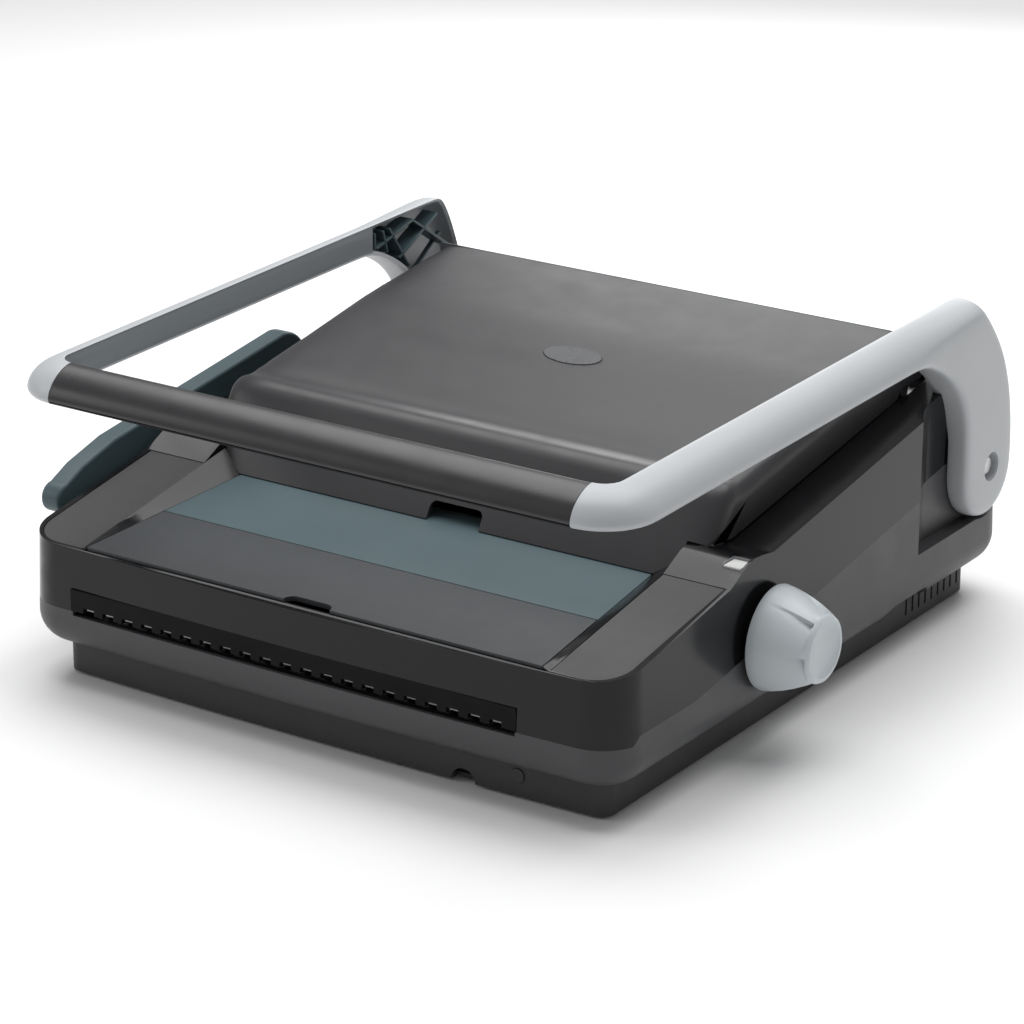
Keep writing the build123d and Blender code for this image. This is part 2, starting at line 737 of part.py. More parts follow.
with BuildPart() as right_frame:
    add(
        slab(
            [
                (BASE_FRONT + BASE_WALL + 8, FLOOR_TOP),
                (BASE_REAR - BASE_WALL - 8, FLOOR_TOP),
                (BASE_REAR - BASE_WALL - 8, BASE_TOP + 10),
                (REAR - WALL - 4, BASE_TOP + 20),
                (REAR - WALL - 4, 100),
                (REAR - 20, 120),
                (DECK_END, deck_z(DECK_END) - 12),
                (HUMP_REAR, deck_z(HUMP_REAR) - 9),
                (HUMP_FRONT, plate_z(HUMP_FRONT) - 8),
                (FRONT + WALL + 7, plate_z(FRONT + WALL + 7) - 8),
                (FRONT + WALL + 7, DIE_TOP - DIE_THICK - 4),
                (BASE_FRONT + BASE_WALL + 8, BASE_TOP + 10),
            ],
            FRAME_X,
            FRAME_X + FRAME_T,
        )
    )
    add(block(FRAME_X - 1, FRAME_X + FRAME_T + 1, DRAWER_FRONT - 20, DRAWER_REAR + 1, 0, DRAWER_TOP + 1.5),
        mode=Mode.SUBTRACT)
    add(rod(PIVOT_Y, PIVOT_Z, SHAFT_R + 4, FRAME_X - 1, FRAME_X + 9), mode=Mode.SUBTRACT)
    add(rod(KNOB_Y, KNOB_Z, KNOB_SHAFT_R + 3, FRAME_X - 1, FRAME_X + 9), mode=Mode.SUBTRACT)
    add(rod(LEVER_Y, LEVER_Z, LEVER_SHAFT_R + 3, FRAME_X - 1, FRAME_X + 9), mode=Mode.SUBTRACT)
    # lightening window
    add(block(FRAME_X - 1, FRAME_X + 9, -30, 120, 25, 42), mode=Mode.SUBTRACT)

with BuildPart() as left_frame:
    add(right_frame.part.mirror(Plane.YZ))

with BuildPart() as shaft_bushes:
    for y, z, radius, flange in (
        (PIVOT_Y, PIVOT_Z, SHAFT_R, 4),
        (KNOB_Y, KNOB_Z, KNOB_SHAFT_R, 3),
        (LEVER_Y, LEVER_Z, LEVER_SHAFT_R, 3),
    ):
        add(both_sides(ring(y, z, radius + flange, radius + RUN, FRAME_X - 1.5, FRAME_X + FRAME_T + 3)))

with BuildPart() as cross_bars:
    for y, z in ((120, 30), (-60, 30)):
        add(rod(y, z, 5, -FRAME_X, FRAME_X))

with BuildPart() as slide_guides:
    for y in (-110, 90):
        guide = block(SLIDE_X - 2, FRAME_X, y - 9, y + 9, SLIDE_LOW - 4, SLIDE_TOP + 4)
        channel = block(SLIDE_X - GAP, SLIDE_X + SLIDE_T + GAP, y - 10, y + 10,
                        SLIDE_LOW - GAP, SLIDE_TOP + GAP)
        add(both_sides(guide - channel))

# ---- Punch unit ---------------------------------------------------------------------------------

DIE_FRONT = FRONT + WALL + 4.7
with BuildPart() as die_plate:
    add(block(-FRAME_X, FRAME_X, DIE_FRONT, PIN_Y + 17, DIE_TOP - DIE_THICK, DIE_TOP))
    for x in HOLE_X:
        add(block(x - PIN_W / 2 - RUN, x + PIN_W / 2 + RUN, PIN_Y - PIN_D / 2 - RUN,
                  PIN_Y + PIN_D / 2 + RUN, 0, 60), mode=Mode.SUBTRACT)

with BuildPart() as stripper_plate:
    add(block(-FRAME_X, FRAME_X, DIE_FRONT, PIN_Y + 14.5, STRIPPER_Z, STRIPPER_Z + STRIPPER_THICK))
    for x in HOLE_X:
        add(block(x - PIN_W / 2 - RUN, x + PIN_W / 2 + RUN, PIN_Y - PIN_D / 2 - RUN,
                  PIN_Y + PIN_D / 2 + RUN, 0, 90), mode=Mode.SUBTRACT)

with BuildPart() as throat_spacers:
    add(block(-FRAME_X, THROAT_LEFT - 2, DIE_FRONT, PIN_Y + 14.5, DIE_TOP, STRIPPER_Z))
    add(block(THROAT_RIGHT + 2, FRAME_X, DIE_FRONT, PIN_Y + 14.5, DIE_TOP, STRIPPER_Z))

# the chute starts far enough below the die to clear the pin tips at the end of their stroke
CHUTE_TOP = DIE_TOP - DIE_THICK - 2.6
with BuildPart() as chip_chute:
    top_y = DIE_FRONT + 3.0
    low_y = DRAWER_FRONT + 3
    add(slab([(top_y, CHUTE_TOP), (low_y, DRAWER_TOP + 1.5), (low_y + 1.6, DRAWER_TOP + 1.5),
              (top_y + 1.6, CHUTE_TOP)], -168, 168))

CARRIER_LOW = CAM_PIN_Z - 6.5
CARRIER_HIGH = CAM_PIN_Z + 6.5
PIN_TIP = STRIPPER_Z + 0.3 - PUNCH_LIFT
with BuildPart() as punch_carrier:
    add(block(-SLIDE_X + 2, SLIDE_X - 2, PIN_Y - 6.5, CAM_PIN_Y + 7, CARRIER_LOW, CARRIER_HIGH))
    for x in HOLE_X:
        add(block(x - PIN_W / 2, x + PIN_W / 2, PIN_Y - PIN_D / 2, PIN_Y + PIN_D / 2, 0, CARRIER_HIGH - 2),
            mode=Mode.SUBTRACT)
    add(rod(CAM_PIN_Y, CAM_PIN_Z, CAM_PIN_R, -SLIDE_X, SLIDE_X), mode=Mode.SUBTRACT)

with BuildPart() as punch_pins:
    for x in HOLE_X:
        add(block(x - PIN_W / 2, x + PIN_W / 2, PIN_Y - PIN_D / 2, PIN_Y + PIN_D / 2, PIN_TIP,
                  CARRIER_HIGH - 2))

with BuildPart() as cam_rod:
    add(rod(CAM_PIN_Y, CAM_PIN_Z, CAM_PIN_R, -SLIDE_X - SLIDE_T - 1, SLIDE_X + SLIDE_T + 1))

RACK_Z = PIVOT_Z - DRIVE_R
CAM_FRONT = CAM_PIN_Y - SLIDE_BACK - CAM_PIN_R - 3.5
CAM_REAR = CAM_PIN_Y + SLIDE_FORWARD + CAM_PIN_R + 4
with BuildPart() as right_slide:
    rack_rear = REAR - WALL - SLIDE_BACK - 2
    outline = [
        (CAM_FRONT, STRIPPER_Z + STRIPPER_THICK + 1.5),
        (CAM_REAR - 6, STRIPPER_Z + STRIPPER_THICK + 1.5),
        (CAM_REAR, SLIDE_LOW),
        (150, SLIDE_LOW),
        (172, RACK_Z - 12),
        (rack_rear, RACK_Z - 12),
        (rack_rear, RACK_Z - 1.2 * DRIVE_MODULE),
        *rack_teeth(DRIVE_MODULE, PIVOT_Y, PIVOT_Y - SLIDE_BACK - 9, rack_rear - 1, RACK_Z),
        (172, RACK_Z - 1.2 * DRIVE_MODULE),
        (150, SLIDE_TOP),
        (CAM_REAR, SLIDE_TOP),
        (CAM_REAR, CAM_PIN_Z + PUNCH_LIFT + CAM_PIN_R + 2.5),
        (CAM_REAR - 14, CAM_PIN_Z + PUNCH_LIFT + CAM_PIN_R + 2.5),
        (CAM_FRONT, CAM_PIN_Z + CAM_PIN_R + 5),
    ]
    with BuildSketch(side_plane(SLIDE_X)):
        with BuildLine():
            Polyline(*outline, close=True)
        make_face()
        with Locations((
            CAM_PIN_Y + (SLIDE_FORWARD - SLIDE_BACK) / 2,
            CAM_PIN_Z + CAM_SLOPE * (SLIDE_FORWARD - SLIDE_BACK) / 2,
        )):
            SlotCenterToCenter(
                SLIDE_TRAVEL * math.hypot(1, CAM_SLOPE),
                2 * CAM_PIN_R + 0.3,
                rotation=math.degrees(math.atan(CAM_SLOPE)),
                mode=Mode.SUBTRACT,
            )
    extrude(amount=SLIDE_T)

with BuildPart() as left_slide:
    add(right_slide.part.mirror(Plane.YZ))

# ---- Margin stop --------------------------------------------------------------------------------

MARGIN_RIGHT = THROAT_RIGHT - 3
STOP_RACK_Z = KNOB_Z - KNOB_R
STOP_Y = PIN_Y + PIN_D / 2 + 4.5
KNOB_TURN = 90.0
STOP_TRAVEL = KNOB_R * math.radians(KNOB_TURN)
STOP_LOW = DIE_TOP + 0.4
STOP_HIGH = STRIPPER_Z - 0.4
with BuildPart() as margin_stop:
    add(block(-MARGIN_X, MARGIN_RIGHT, STOP_Y, STOP_Y + 20, STOP_LOW, STOP_HIGH))
    for x in (-MARGIN_X, MARGIN_RIGHT - 8):
        add(block(x, x + 8, STOP_Y + 10, KNOB_Y + 20, STOP_LOW, STOP_HIGH))

with BuildPart() as stop_racks:
    for x in (-MARGIN_X + 1, MARGIN_RIGHT - 7):
        y_front = KNOB_Y - 14
        y_back = KNOB_Y + 16
        add(slab([(y_front, STOP_HIGH), (y_back, STOP_HIGH), (y_back, STOP_RACK_Z - 1.2 * KNOB_MODULE),
                  *rack_teeth(KNOB_MODULE, KNOB_Y, y_front + 1, y_back - 1, STOP_RACK_Z),
                  (y_front, STOP_RACK_Z - 1.2 * KNOB_MODULE)], x, x + 6))

with BuildPart() as knob_shaft:
    add(rod(KNOB_Y, KNOB_Z, KNOB_SHAFT_R, -FRAME_X - FRAME_T - 3, KNOB_X + 18))

with BuildPart() as knob_pinions:
    for x in (-MARGIN_X + 1, MARGIN_RIGHT - 7):
        add(pinion_blank(KNOB_MODULE, KNOB_TEETH, KNOB_Y, KNOB_Z, x, x + 6, KNOB_SHAFT_R, False))

with BuildPart() as margin_knob:
    with BuildSketch(Plane.XY.offset(KNOB_Z)):
        with BuildLine():
            Polyline((KNOB_X, KNOB_Y), (KNOB_X, KNOB_Y - KNOB_BASE_R))
            ThreePointArc(
                (KNOB_X, KNOB_Y - KNOB_BASE_R),
                (KNOB_X + KNOB_LENGTH * 0.5, KNOB_Y - (KNOB_BASE_R + KNOB_TIP_R) / 2 - 1.2),
                (KNOB_X + KNOB_LENGTH - 1.5, KNOB_Y - KNOB_TIP_R),
            )
            Polyline(
                (KNOB_X + KNOB_LENGTH - 1.5, KNOB_Y - KNOB_TIP_R),
                (KNOB_X + KNOB_LENGTH, KNOB_Y - KNOB_TIP_R + 1.5),
                (KNOB_X + KNOB_LENGTH, KNOB_Y - KNOB_TIP_R + 3.5),
            )
            Polyline(
                (KNOB_X + KNOB_LENGTH, KNOB_Y - KNOB_TIP_R + 3.5),
                (KNOB_X + KNOB_LENGTH - 1.8, KNOB_Y - KNOB_TIP_R / 2),
                (KNOB_X + KNOB_LENGTH - 1.8, KNOB_Y),
            )
            Line((KNOB_X + KNOB_LENGTH - 1.8, KNOB_Y), (KNOB_X, KNOB_Y))
        make_face()
    revolve(axis=Axis((0, KNOB_Y, KNOB_Z), (1, 0, 0)))
    # grip flutes that run out towards the base
    for i in range(6):
        angle = math.radians(60 * i + 20)
        far = KNOB_TIP_R + 12.5
        with BuildSketch(side_plane(KNOB_X + KNOB_LENGTH + 1)):
            with Locations((KNOB_Y + far * math.cos(angle), KNOB_Z + far * math.sin(angle))):
                Circle(15)
        extrude(amount=-24, taper=14, mode=Mode.SUBTRACT)
    add(rod(KNOB_Y, KNOB_Z, KNOB_SHAFT_R, KNOB_X - 1, KNOB_X + 18), mode=Mode.SUBTRACT)

# ---- Comb opener --------------------------------------------------------------------------------

FINGER_W = 4.0
HOOK_W = 3.0
HOOK_SHIFT = 6.0
HOOK_Y = FINGER_Y + 22
OPENER_TRAVEL = LEVER_R * math.radians(70)
OPENER_PLATE_Z = COMB_DECK_Z + 2
OPENER_RACK_Z = LEVER_Z - LEVER_R
with BuildPart() as comb_rack:
    add(block(HOLE_X[0] - 5, HOLE_X[-1] + 5, FINGER_Y - 14, FINGER_Y, COMB_DECK_Z, COMB_DECK_Z + 1.5))
    for x in HOLE_X:
        add(block(x - FINGER_W / 2, x + FINGER_W / 2, FINGER_Y - 1.5, FINGER_Y, COMB_DECK_Z, COMB_DECK_Z + 17))

with BuildPart() as hook_plate:
    rear = LEVER_Y + 32
    add(block(-OPENER_RACK_X - 5, OPENER_RACK_X + 5, HOOK_Y, rear, OPENER_PLATE_Z, OPENER_PLATE_Z + 2))
    add(block(HOLE_X[0] + 12, HOLE_X[-1] - 12, HOOK_Y + 12, rear - 8, 0, 200), mode=Mode.SUBTRACT)

with BuildPart() as comb_hooks:
    for x in HOLE_X:
        middle = x + HOOK_SHIFT
        hook = slab(
            [
                (HOOK_Y + 1, OPENER_PLATE_Z + 2),
                (HOOK_Y + 4, OPENER_PLATE_Z + 2),
                (HOOK_Y + 4, OPENER_PLATE_Z + 13),
                (HOOK_Y - 5, OPENER_PLATE_Z + 13),
                (HOOK_Y - 5, OPENER_PLATE_Z + 9),
                (HOOK_Y - 3.2, OPENER_PLATE_Z + 9),
                (HOOK_Y - 3.2, OPENER_PLATE_Z + 11),
                (HOOK_Y + 1, OPENER_PLATE_Z + 11),
            ],
            middle - HOOK_W / 2,
            middle + HOOK_W / 2,
        )
        add(hook)

with BuildPart() as opener_racks:
    y_front = LEVER_Y - 9
    y_back = LEVER_Y + OPENER_TRAVEL + 9
    add(both_sides(
        slab([(y_front, OPENER_PLATE_Z + 2), (y_back, OPENER_PLATE_Z + 2),
              (y_back, OPENER_RACK_Z - 1.2 * LEVER_MODULE),
              *rack_teeth(LEVER_MODULE, LEVER_Y, y_front + 1, y_back - 1, OPENER_RACK_Z),
              (y_front, OPENER_RACK_Z - 1.2 * LEVER_MODULE)], OPENER_RACK_X, OPENER_RACK_X + 5)
    ))

with BuildPart() as opener_rails:
    for side in SIDES:
        for x in (side * 40, side * 110):
            add(block(x - 4, x + 4, HOOK_Y - OPENER_TRAVEL - 2, HOOK_Y + 12, COMB_DECK_Z, OPENER_PLATE_Z - 0.3))

with BuildPart() as lever_shaft:
    add(rod(LEVER_Y, LEVER_Z, LEVER_SHAFT_R, -LEVER_X - 8, FRAME_X + FRAME_T + 3))

with BuildPart() as lever_pinions:
    add(both_sides(pinion_blank(LEVER_MODULE, LEVER_TEETH, LEVER_Y, LEVER_Z, OPENER_RACK_X,
                                OPENER_RACK_X + 5, LEVER_SHAFT_R, False)))

with BuildPart() as comb_lever:
    nose_top = plate_z(LEVER_NOSE_Y) + 7
    with BuildSketch(side_plane(-LEVER_X - LEVER_THICK)):
        with BuildLine():
            Polyline(
                (LEVER_Y, LEVER_Z + LEVER_BOSS_R),
                (LEVER_NOSE_Y + 55, 117.6),
                (LEVER_NOSE_Y + 24, nose_top + 7),
                (LEVER_NOSE_Y + 9, nose_top),
            )
            ThreePointArc(
                (LEVER_NOSE_Y + 9, nose_top),
                (LEVER_NOSE_Y, nose_top - 9),
                (LEVER_NOSE_Y + 12, nose_top - 18),
            )
            Polyline(
                (LEVER_NOSE_Y + 12, nose_top - 18),
                (LEVER_NOSE_Y + 60, 88),
                (LEVER_Y, LEVER_Z - LEVER_BOSS_R),
            )
            ThreePointArc(
                (LEVER_Y, LEVER_Z - LEVER_BOSS_R),
                (LEVER_Y + LEVER_BOSS_R, LEVER_Z),
                (LEVER_Y, LEVER_Z + LEVER_BOSS_R),
            )
        make_face()
    extrude(amount=LEVER_THICK)
    add(rod(LEVER_Y, LEVER_Z, LEVER_SHAFT_R, -LEVER_X - 8, -LEVER_X + 1), mode=Mode.SUBTRACT)

# ---- Chip drawer --------------------------------------------------------------------------------

with BuildPart() as chip_drawer:
    drawer_right = HOLE_X[-1] + 14
    add(block(-BASE_HALF, drawer_right, DRAWER_FRONT, DRAWER_REAR, FLOOR_TOP + 0.3, DRAWER_TOP))
    add(block(-BASE_HALF + 4, drawer_right - 2, DRAWER_FRONT + 2, DRAWER_REAR - 2, FLOOR_TOP + 2.3, 60),
        mode=Mode.SUBTRACT)
    add(block(-BASE_HALF - 1, -BASE_HALF + 2, -188, -168, DRAWER_TOP - 6, DRAWER_TOP + 1), mode=Mode.SUBTRACT)

# ---- Lid ----------------------------------------------------------------------------------------

LIP_AIR = 0.5
LID_LIP_Z = floor_z(LID_LIP_Y) + LIP_AIR


def lid_outline(inset):
    """Side outline of the lid, drawn in by inset at the top and the nose."""
    rear = LID_REAR - inset
    with BuildSketch(mode=Mode.PRIVATE) as outline:
        with BuildLine():
            Line((rear, 60), (rear, 170 - inset))
            ThreePointArc((rear, 170 - inset), (rear - 1.8, 174.6 - inset), (rear - 6.5, 176.4 - inset))
            Spline(
                (rear - 6.5, 176.4 - inset),
                (69, 166.6 - inset),
                (0, 155.0 - inset),
                (-36, 149.6 - inset),
                (-58, 144.0 - inset),
                (-74 + inset * 0.6, 132.5 - inset * 0.8),
                tangents=[(-1, -0.05), (-0.62, -1)],
            )
            Line((-74 + inset * 0.6, 132.5 - inset * 0.8), (LID_LIP_Y + inset, LID_LIP_Z))
            Polyline((LID_LIP_Y + inset, LID_LIP_Z), (LID_LIP_Y + inset, 60), (rear, 60))
        make_face()
    return outline.sketch


def lid_plan(inset):
    """Plan of the lid, drawn in by inset, with its nose narrowed to fit between the tray's sides."""
    with BuildSketch(mode=Mode.PRIVATE) as plan:
        with BuildLine():
            side = LID_HALF - inset
            nose = LID_NOSE_HALF - inset
            Polyline(
                (side, LID_REAR - inset),
                (side, -52 + inset),
                (side - 5, -60 + inset),
                (nose + 10, -72 + inset),
                (nose, -82 + inset),
                (nose + 1.2, LID_LIP_Y - 6),
                (-nose - 1.2, LID_LIP_Y - 6),
                (-nose, -82 + inset),
                (-nose - 10, -72 + inset),
                (-side + 5, -60 + inset),
                (-side, -52 + inset),
                (-side, LID_REAR - inset),
                close=True,
            )
        make_face()
    return plan.sketch


def lid_block(inset):
    """The lid as a solid block, drawn in by inset."""
    with BuildPart() as solid_lid:
        with BuildSketch(side_plane(0)):
            add(lid_outline(inset))
        extrude(amount=LID_HALF, both=True)
        with BuildSketch(Plane.XY.offset(60)):
            add(lid_plan(inset))
        extrude(amount=130, mode=Mode.INTERSECT)
    return solid_lid.part


def under_lid():
    """The room below the lid's lower edge: the deck behind and the tray floor in front."""
    lift = 0.6
    return slab(
        [
            (LID_LIP_Y - 20, 50),
            (LID_REAR + 5, 50),
            (LID_REAR + 5, LANDING_Z + 5.5),
            (LANDING_FRONT + 1, LANDING_Z + 5.5),
            (LANDING_FRONT - 4, deck_z(LANDING_FRONT - 4) + lift),
            (HUMP_REAR, deck_z(HUMP_REAR) + lift),
            (HUMP_REAR - 7, HUMP_HIGH + lift),
            (LID_LIP_Y - 20, HUMP_HIGH + lift),
        ],
        -LID_HALF - 5,
        LID_HALF + 5,
    )


def lid_top(y):
    """Height of the lid's top near the badge."""
    return 155.0 + (166.6 - 155.0) * y / 69


def badge_blank(depth, margin, sink):
    """An oval slice of the lid's skin, from sink below the top down to depth."""
    low = BADGE_Y - BADGE_SHORT
    high = BADGE_Y + BADGE_SHORT
    with BuildPart() as oval:
        with BuildSketch(Plane.XY.offset(140)):
            with Locations((0, BADGE_Y)):
                Ellipse(BADGE_LONG / 2 - margin, BADGE_SHORT / 2 - margin)
        extrude(amount=60)
        add(
            slab(
                [
                    (low, lid_top(low) - depth),
                    (high, lid_top(high) - depth),
                    (high, lid_top(high) - sink),
                    (low, lid_top(low) - sink),
                ],
                -BADGE_LONG,
                BADGE_LONG,
            ),
            mode=Mode.INTERSECT,
        )
    return oval.part


with BuildPart() as lid_trimmer:
    nose_front = LID_LIP_Y - 25
    nose_rear = HUMP_REAR + 4
    add(under_lid())
    add(
        slab(
            [
                (nose_front, floor_z(nose_front) + LIP_AIR),
                (nose_rear, floor_z(nose_rear) + LIP_AIR),
                (nose_rear, 200),
                (nose_front, 200),
            ],
            -LID_NOSE_HALF - 1.2,
            LID_NOSE_HALF + 1.2,
        ),
        mode=Mode.SUBTRACT,
    )

with BuildPart() as lid:
    add(lid_block(0))
    add(lid_block(LID_WALL), mode=Mode.SUBTRACT)
    # the sides end at the deck; only the nose reaches down between the tray's sides
    add(lid_trimmer.part, mode=Mode.SUBTRACT)
    # finger cut-out in the lip
    with BuildSketch(Plane.XZ.offset(-LID_LIP_Y + 10)):
        with Locations((LIP_NOTCH_X, LID_LIP_Z)):
            RectangleRounded(37, 23, 4)
    extrude(amount=-25, mode=Mode.SUBTRACT)
    # the rear trim strip is a piece of its own
    add(block(-LID_HALF - 1, LID_HALF + 1, TRIM_FRONT, LID_REAR + 1, 0, 300), mode=Mode.SUBTRACT)
    # bosses for the hinge pins, and the badge's seat
    add(both_sides(ring(LID_HINGE_Y, LID_HINGE_Z, 5.2, 1, LID_HALF - 7, LID_HALF - 1)))
    add(rod(LID_HINGE_Y, LID_HINGE_Z, HINGE_PIN_R + RUN, -LID_HALF + 0.8, LID_HALF - 0.8), mode=Mode.SUBTRACT)
    with BuildSketch(Plane.XY.offset(140)):
        with Locations((0, BADGE_Y)):
            Ellipse(BADGE_LONG / 2, BADGE_SHORT / 2)
    extrude(amount=60, mode=Mode.SUBTRACT)
    add(badge_blank(LID_WALL, 0, 1.2))

with BuildPart() as lid_badge:
    add(badge_blank(1.2 - SEAT, 0.2, -0.3))

with BuildPart() as lid_trim:
    add(lid_block(0))
    add(lid_block(LID_WALL), mode=Mode.SUBTRACT)
    add(block(-LID_HALF - 1, LID_HALF + 1, LID_LIP_Y - 20, TRIM_FRONT, 0, 300), mode=Mode.SUBTRACT)
    add(block(-LID_HALF - 1, LID_HALF + 1, 0, LID_REAR + 1, 0, TRIM_LOW), mode=Mode.SUBTRACT)
    # slots that let the hinge brackets through the rear wall as the lid turns
    add(both_sides(block(HINGE_X - BRACKET_AIR, HINGE_X + BRACKET_THICK + BRACKET_AIR, LID_HINGE_Y, LID_REAR + 1,
                         0, LID_HINGE_Z + BRACKET_HALF * 1.42)), mode=Mode.SUBTRACT)

with BuildPart() as hinge_brackets:
    add(both_sides(block(HINGE_X, HINGE_X + BRACKET_THICK, LID_HINGE_Y - BRACKET_HALF,
                         LID_HINGE_Y + BRACKET_HALF, LANDING_Z, LID_HINGE_Z + BRACKET_HALF)))
    add(rod(LID_HINGE_Y, LID_HINGE_Z, HINGE_PIN_R, -LID_HALF, LID_HALF), mode=Mode.SUBTRACT)

with BuildPart() as hinge_pins:
    add(both_sides(rod(LID_HINGE_Y, LID_HINGE_Z, HINGE_PIN_R, HINGE_X - 1, LID_HALF - 1.2)))

# ---- Handle -------------------------------------------------------------------------------------

BAR_REAR = CAP_Y - CAP_INNER_R
ARM_OUT_R = ARM_OUTER - BAR_HALF


def grip_section(inset):
    """Cross-section of the grip as (distance out, height) from its inner top edge."""
    wide = ARM_OUT_R - CAP_INNER_R
    with BuildSketch(mode=Mode.PRIVATE) as section:
        with BuildLine():
            Line((inset, -17.0 + inset), (inset, -0.5 - inset))
            ThreePointArc((inset, -0.5 - inset), (wide * 0.62, -4.3 - inset), (wide - 1.2 - inset, -12.5))
            ThreePointArc((wide - 1.2 - inset, -12.5), (wide - inset, -16.2), (wide - 3.2 - inset, -21.5 + inset))
            Polyline((wide - 3.2 - inset, -21.5 + inset), (2.5 + inset, -20.0 + inset), (inset, -17.0 + inset))
        make_face()
    return section.sketch


def leg_outline(inset):
    """Side outline of the leg and the flared rear of the arm, drawn in by inset."""
    rear = PIVOT_Y + LEG_R - inset
    front = PIVOT_Y - LEG_R + inset
    start = FLARE_FRONT + inset
    under = ARM_DEPTH - inset
    with BuildSketch(mode=Mode.PRIVATE) as outline:
        with BuildLine():
            Line((start, arm_top(start) - inset), (176, arm_top(176) - inset))
            Spline(
                (176, arm_top(176) - inset),
                (184 - 0.4 * inset, arm_top(184) - 5 - 0.9 * inset),
                (206 - 0.9 * inset, 168 - 0.4 * inset),
                (rear, 110),
                tangents=[(1, 0), (0.03, -1)],
            )
            Line((rear, 110), (rear, PIVOT_Z))
            ThreePointArc((rear, PIVOT_Z), (PIVOT_Y, PIVOT_Z - LEG_R + inset), (front, PIVOT_Z))
            Line((front, PIVOT_Z), (front, 122))
            Spline(
                (front, 122),
                (152 + 0.8 * inset, 148.5 + 0.6 * inset),
                (134 + 0.5 * inset, 165 + 0.9 * inset),
                (112 + 0.2 * inset, arm_top(112) - under - 2.5),
                tangents=[(0, 1), (-1, 0.15)],
            )
            Polyline(
                (112 + 0.2 * inset, arm_top(112) - under - 2.5),
                (start, arm_top(FLARE_FRONT) - under - 1.2),
                (start, arm_top(start) - inset),
            )
        make_face()
    return outline.sketch


def rib(start, end, thick):
    """A flat rib between two points in Y and Z."""
    length = math.dist(start, end)
    angle = math.degrees(math.atan2(end[1] - start[1], end[0] - start[0]))
    with BuildPart() as web:
        with BuildSketch(side_plane(ARM_INNER + 3)):
            with Locations(Location(((start[0] + end[0]) / 2, (start[1] + end[1]) / 2), angle)):
                Rectangle(length, thick)
        extrude(amount=ARM_OUTER - ARM_INNER - 3 - ARM_WALL)
    return web.part


def grip_run(inset, y_from, y_to):
    """The straight arm on the right side, between two places along its length."""
    climb = Vector(0, 1, ARM_SLOPE)
    with BuildPart() as run:
        with BuildSketch(Plane((ARM_INNER, y_from, arm_top(y_from)), x_dir=(1, 0, 0), z_dir=(0, -1, 0))):
            add(grip_section(inset))
        extrude(amount=(y_to - y_from) * climb.length, dir=climb.normalized())
    return run.part


with BuildPart() as leg_core:
    with BuildSketch(side_plane(ARM_INNER - 2)):
        add(leg_outline(ARM_WALL))
    extrude(amount=ARM_OUTER - ARM_WALL - ARM_INNER + 2)

with BuildPart() as ribs:
    for start, end in (
        ((118, 178), (150, 200)),
        ((150, 170), (120, 200)),
        ((138, 163), (184, 197)),
        ((150, 198), (198, 160)),
        ((158, 145), (206, 166)),
        ((160, 128), (214, 150)),
        ((160, 150), (224, 118)),
    ):
        add(rib(start, end, 1.8))
    add(leg_core.part, mode=Mode.INTERSECT)

with BuildPart() as right_arm:
    # corner cap that turns the grip round from the bar to the arm
    with BuildSketch(Plane((BAR_HALF + CAP_INNER_R, CAP_Y, arm_top(CAP_Y)), x_dir=(1, 0, 0), z_dir=(0, -1, 0))):
        add(grip_section(0))
    revolve(axis=Axis((BAR_HALF, CAP_Y, 0), (0, 0, 1)), revolution_arc=-90)
    add(grip_run(0, CAP_Y, FLARE_FRONT + 1))
    with BuildSketch(side_plane(ARM_INNER)):
        add(leg_outline(0))
    extrude(amount=ARM_OUTER - ARM_INNER)
    add(leg_core.part, mode=Mode.SUBTRACT)
    # the straight arm is a channel, open to the inside
    add(grip_run(ARM_WALL, CAP_Y + 6, FLARE_FRONT + ARM_WALL), mode=Mode.SUBTRACT)
    add(block(ARM_INNER - 1, ARM_INNER + ARM_WALL + 1, COVER_FROM, FLARE_FRONT + ARM_WALL, 177.5, 194.5),
        mode=Mode.SUBTRACT)
    # the corner cap is hollow where the bar plugs in
    with BuildSketch(side_plane(BAR_HALF - 1)):
        with Locations((CAP_Y - CAP_INNER_R - 11, BAR_CORE_Z)):
            Circle(BAR_CORE_R + SEAT)
    extrude(amount=16, mode=Mode.SUBTRACT)
    add(ribs.part)
    # hub round the shaft, with a counterbore for the screw head
    add(ring(PIVOT_Y, PIVOT_Z, SHAFT_R + 4, 1, LEG_INNER, ARM_OUTER - 1))
    # below the flare the leg is thinner, to pass beside the housing
    add(block(ARM_INNER - 5, LEG_INNER, 90, REAR + 20, 40, STRIP_Z), mode=Mode.SUBTRACT)
    add(rod(PIVOT_Y, PIVOT_Z, SHAFT_R, LEG_INNER - 5, LEG_INNER + 6), mode=Mode.SUBTRACT)
    add(rod(PIVOT_Y, PIVOT_Z, SCREW_HEAD_R, ARM_OUTER - 6, ARM_OUTER + 1), mode=Mode.SUBTRACT)
    add(rod(PIVOT_Y, PIVOT_Z, 2.6, LEG_INNER, ARM_OUTER), mode=Mode.SUBTRACT)

with BuildPart() as left_arm:
    add(right_arm.part.mirror(Plane.YZ))

with BuildPart() as right_arm_cover:
    add(
        slab(
            [
                (COVER_FROM + 0.3, arm_top(COVER_FROM) - 17.0),
                (FLARE_FRONT + ARM_WALL - 0.3, arm_top(FLARE_FRONT) - 17.0),
                (FLARE_FRONT + ARM_WALL - 0.3, arm_top(FLARE_FRONT) - 5.4),
                (COVER_FROM + 0.3, arm_top(COVER_FROM) - 1.4),
            ],
            ARM_INNER + 0.3,
            ARM_INNER + 2.3,
        )
    )

with BuildPart() as left_arm_cover:
    add(right_arm_cover.part.mirror(Plane.YZ))

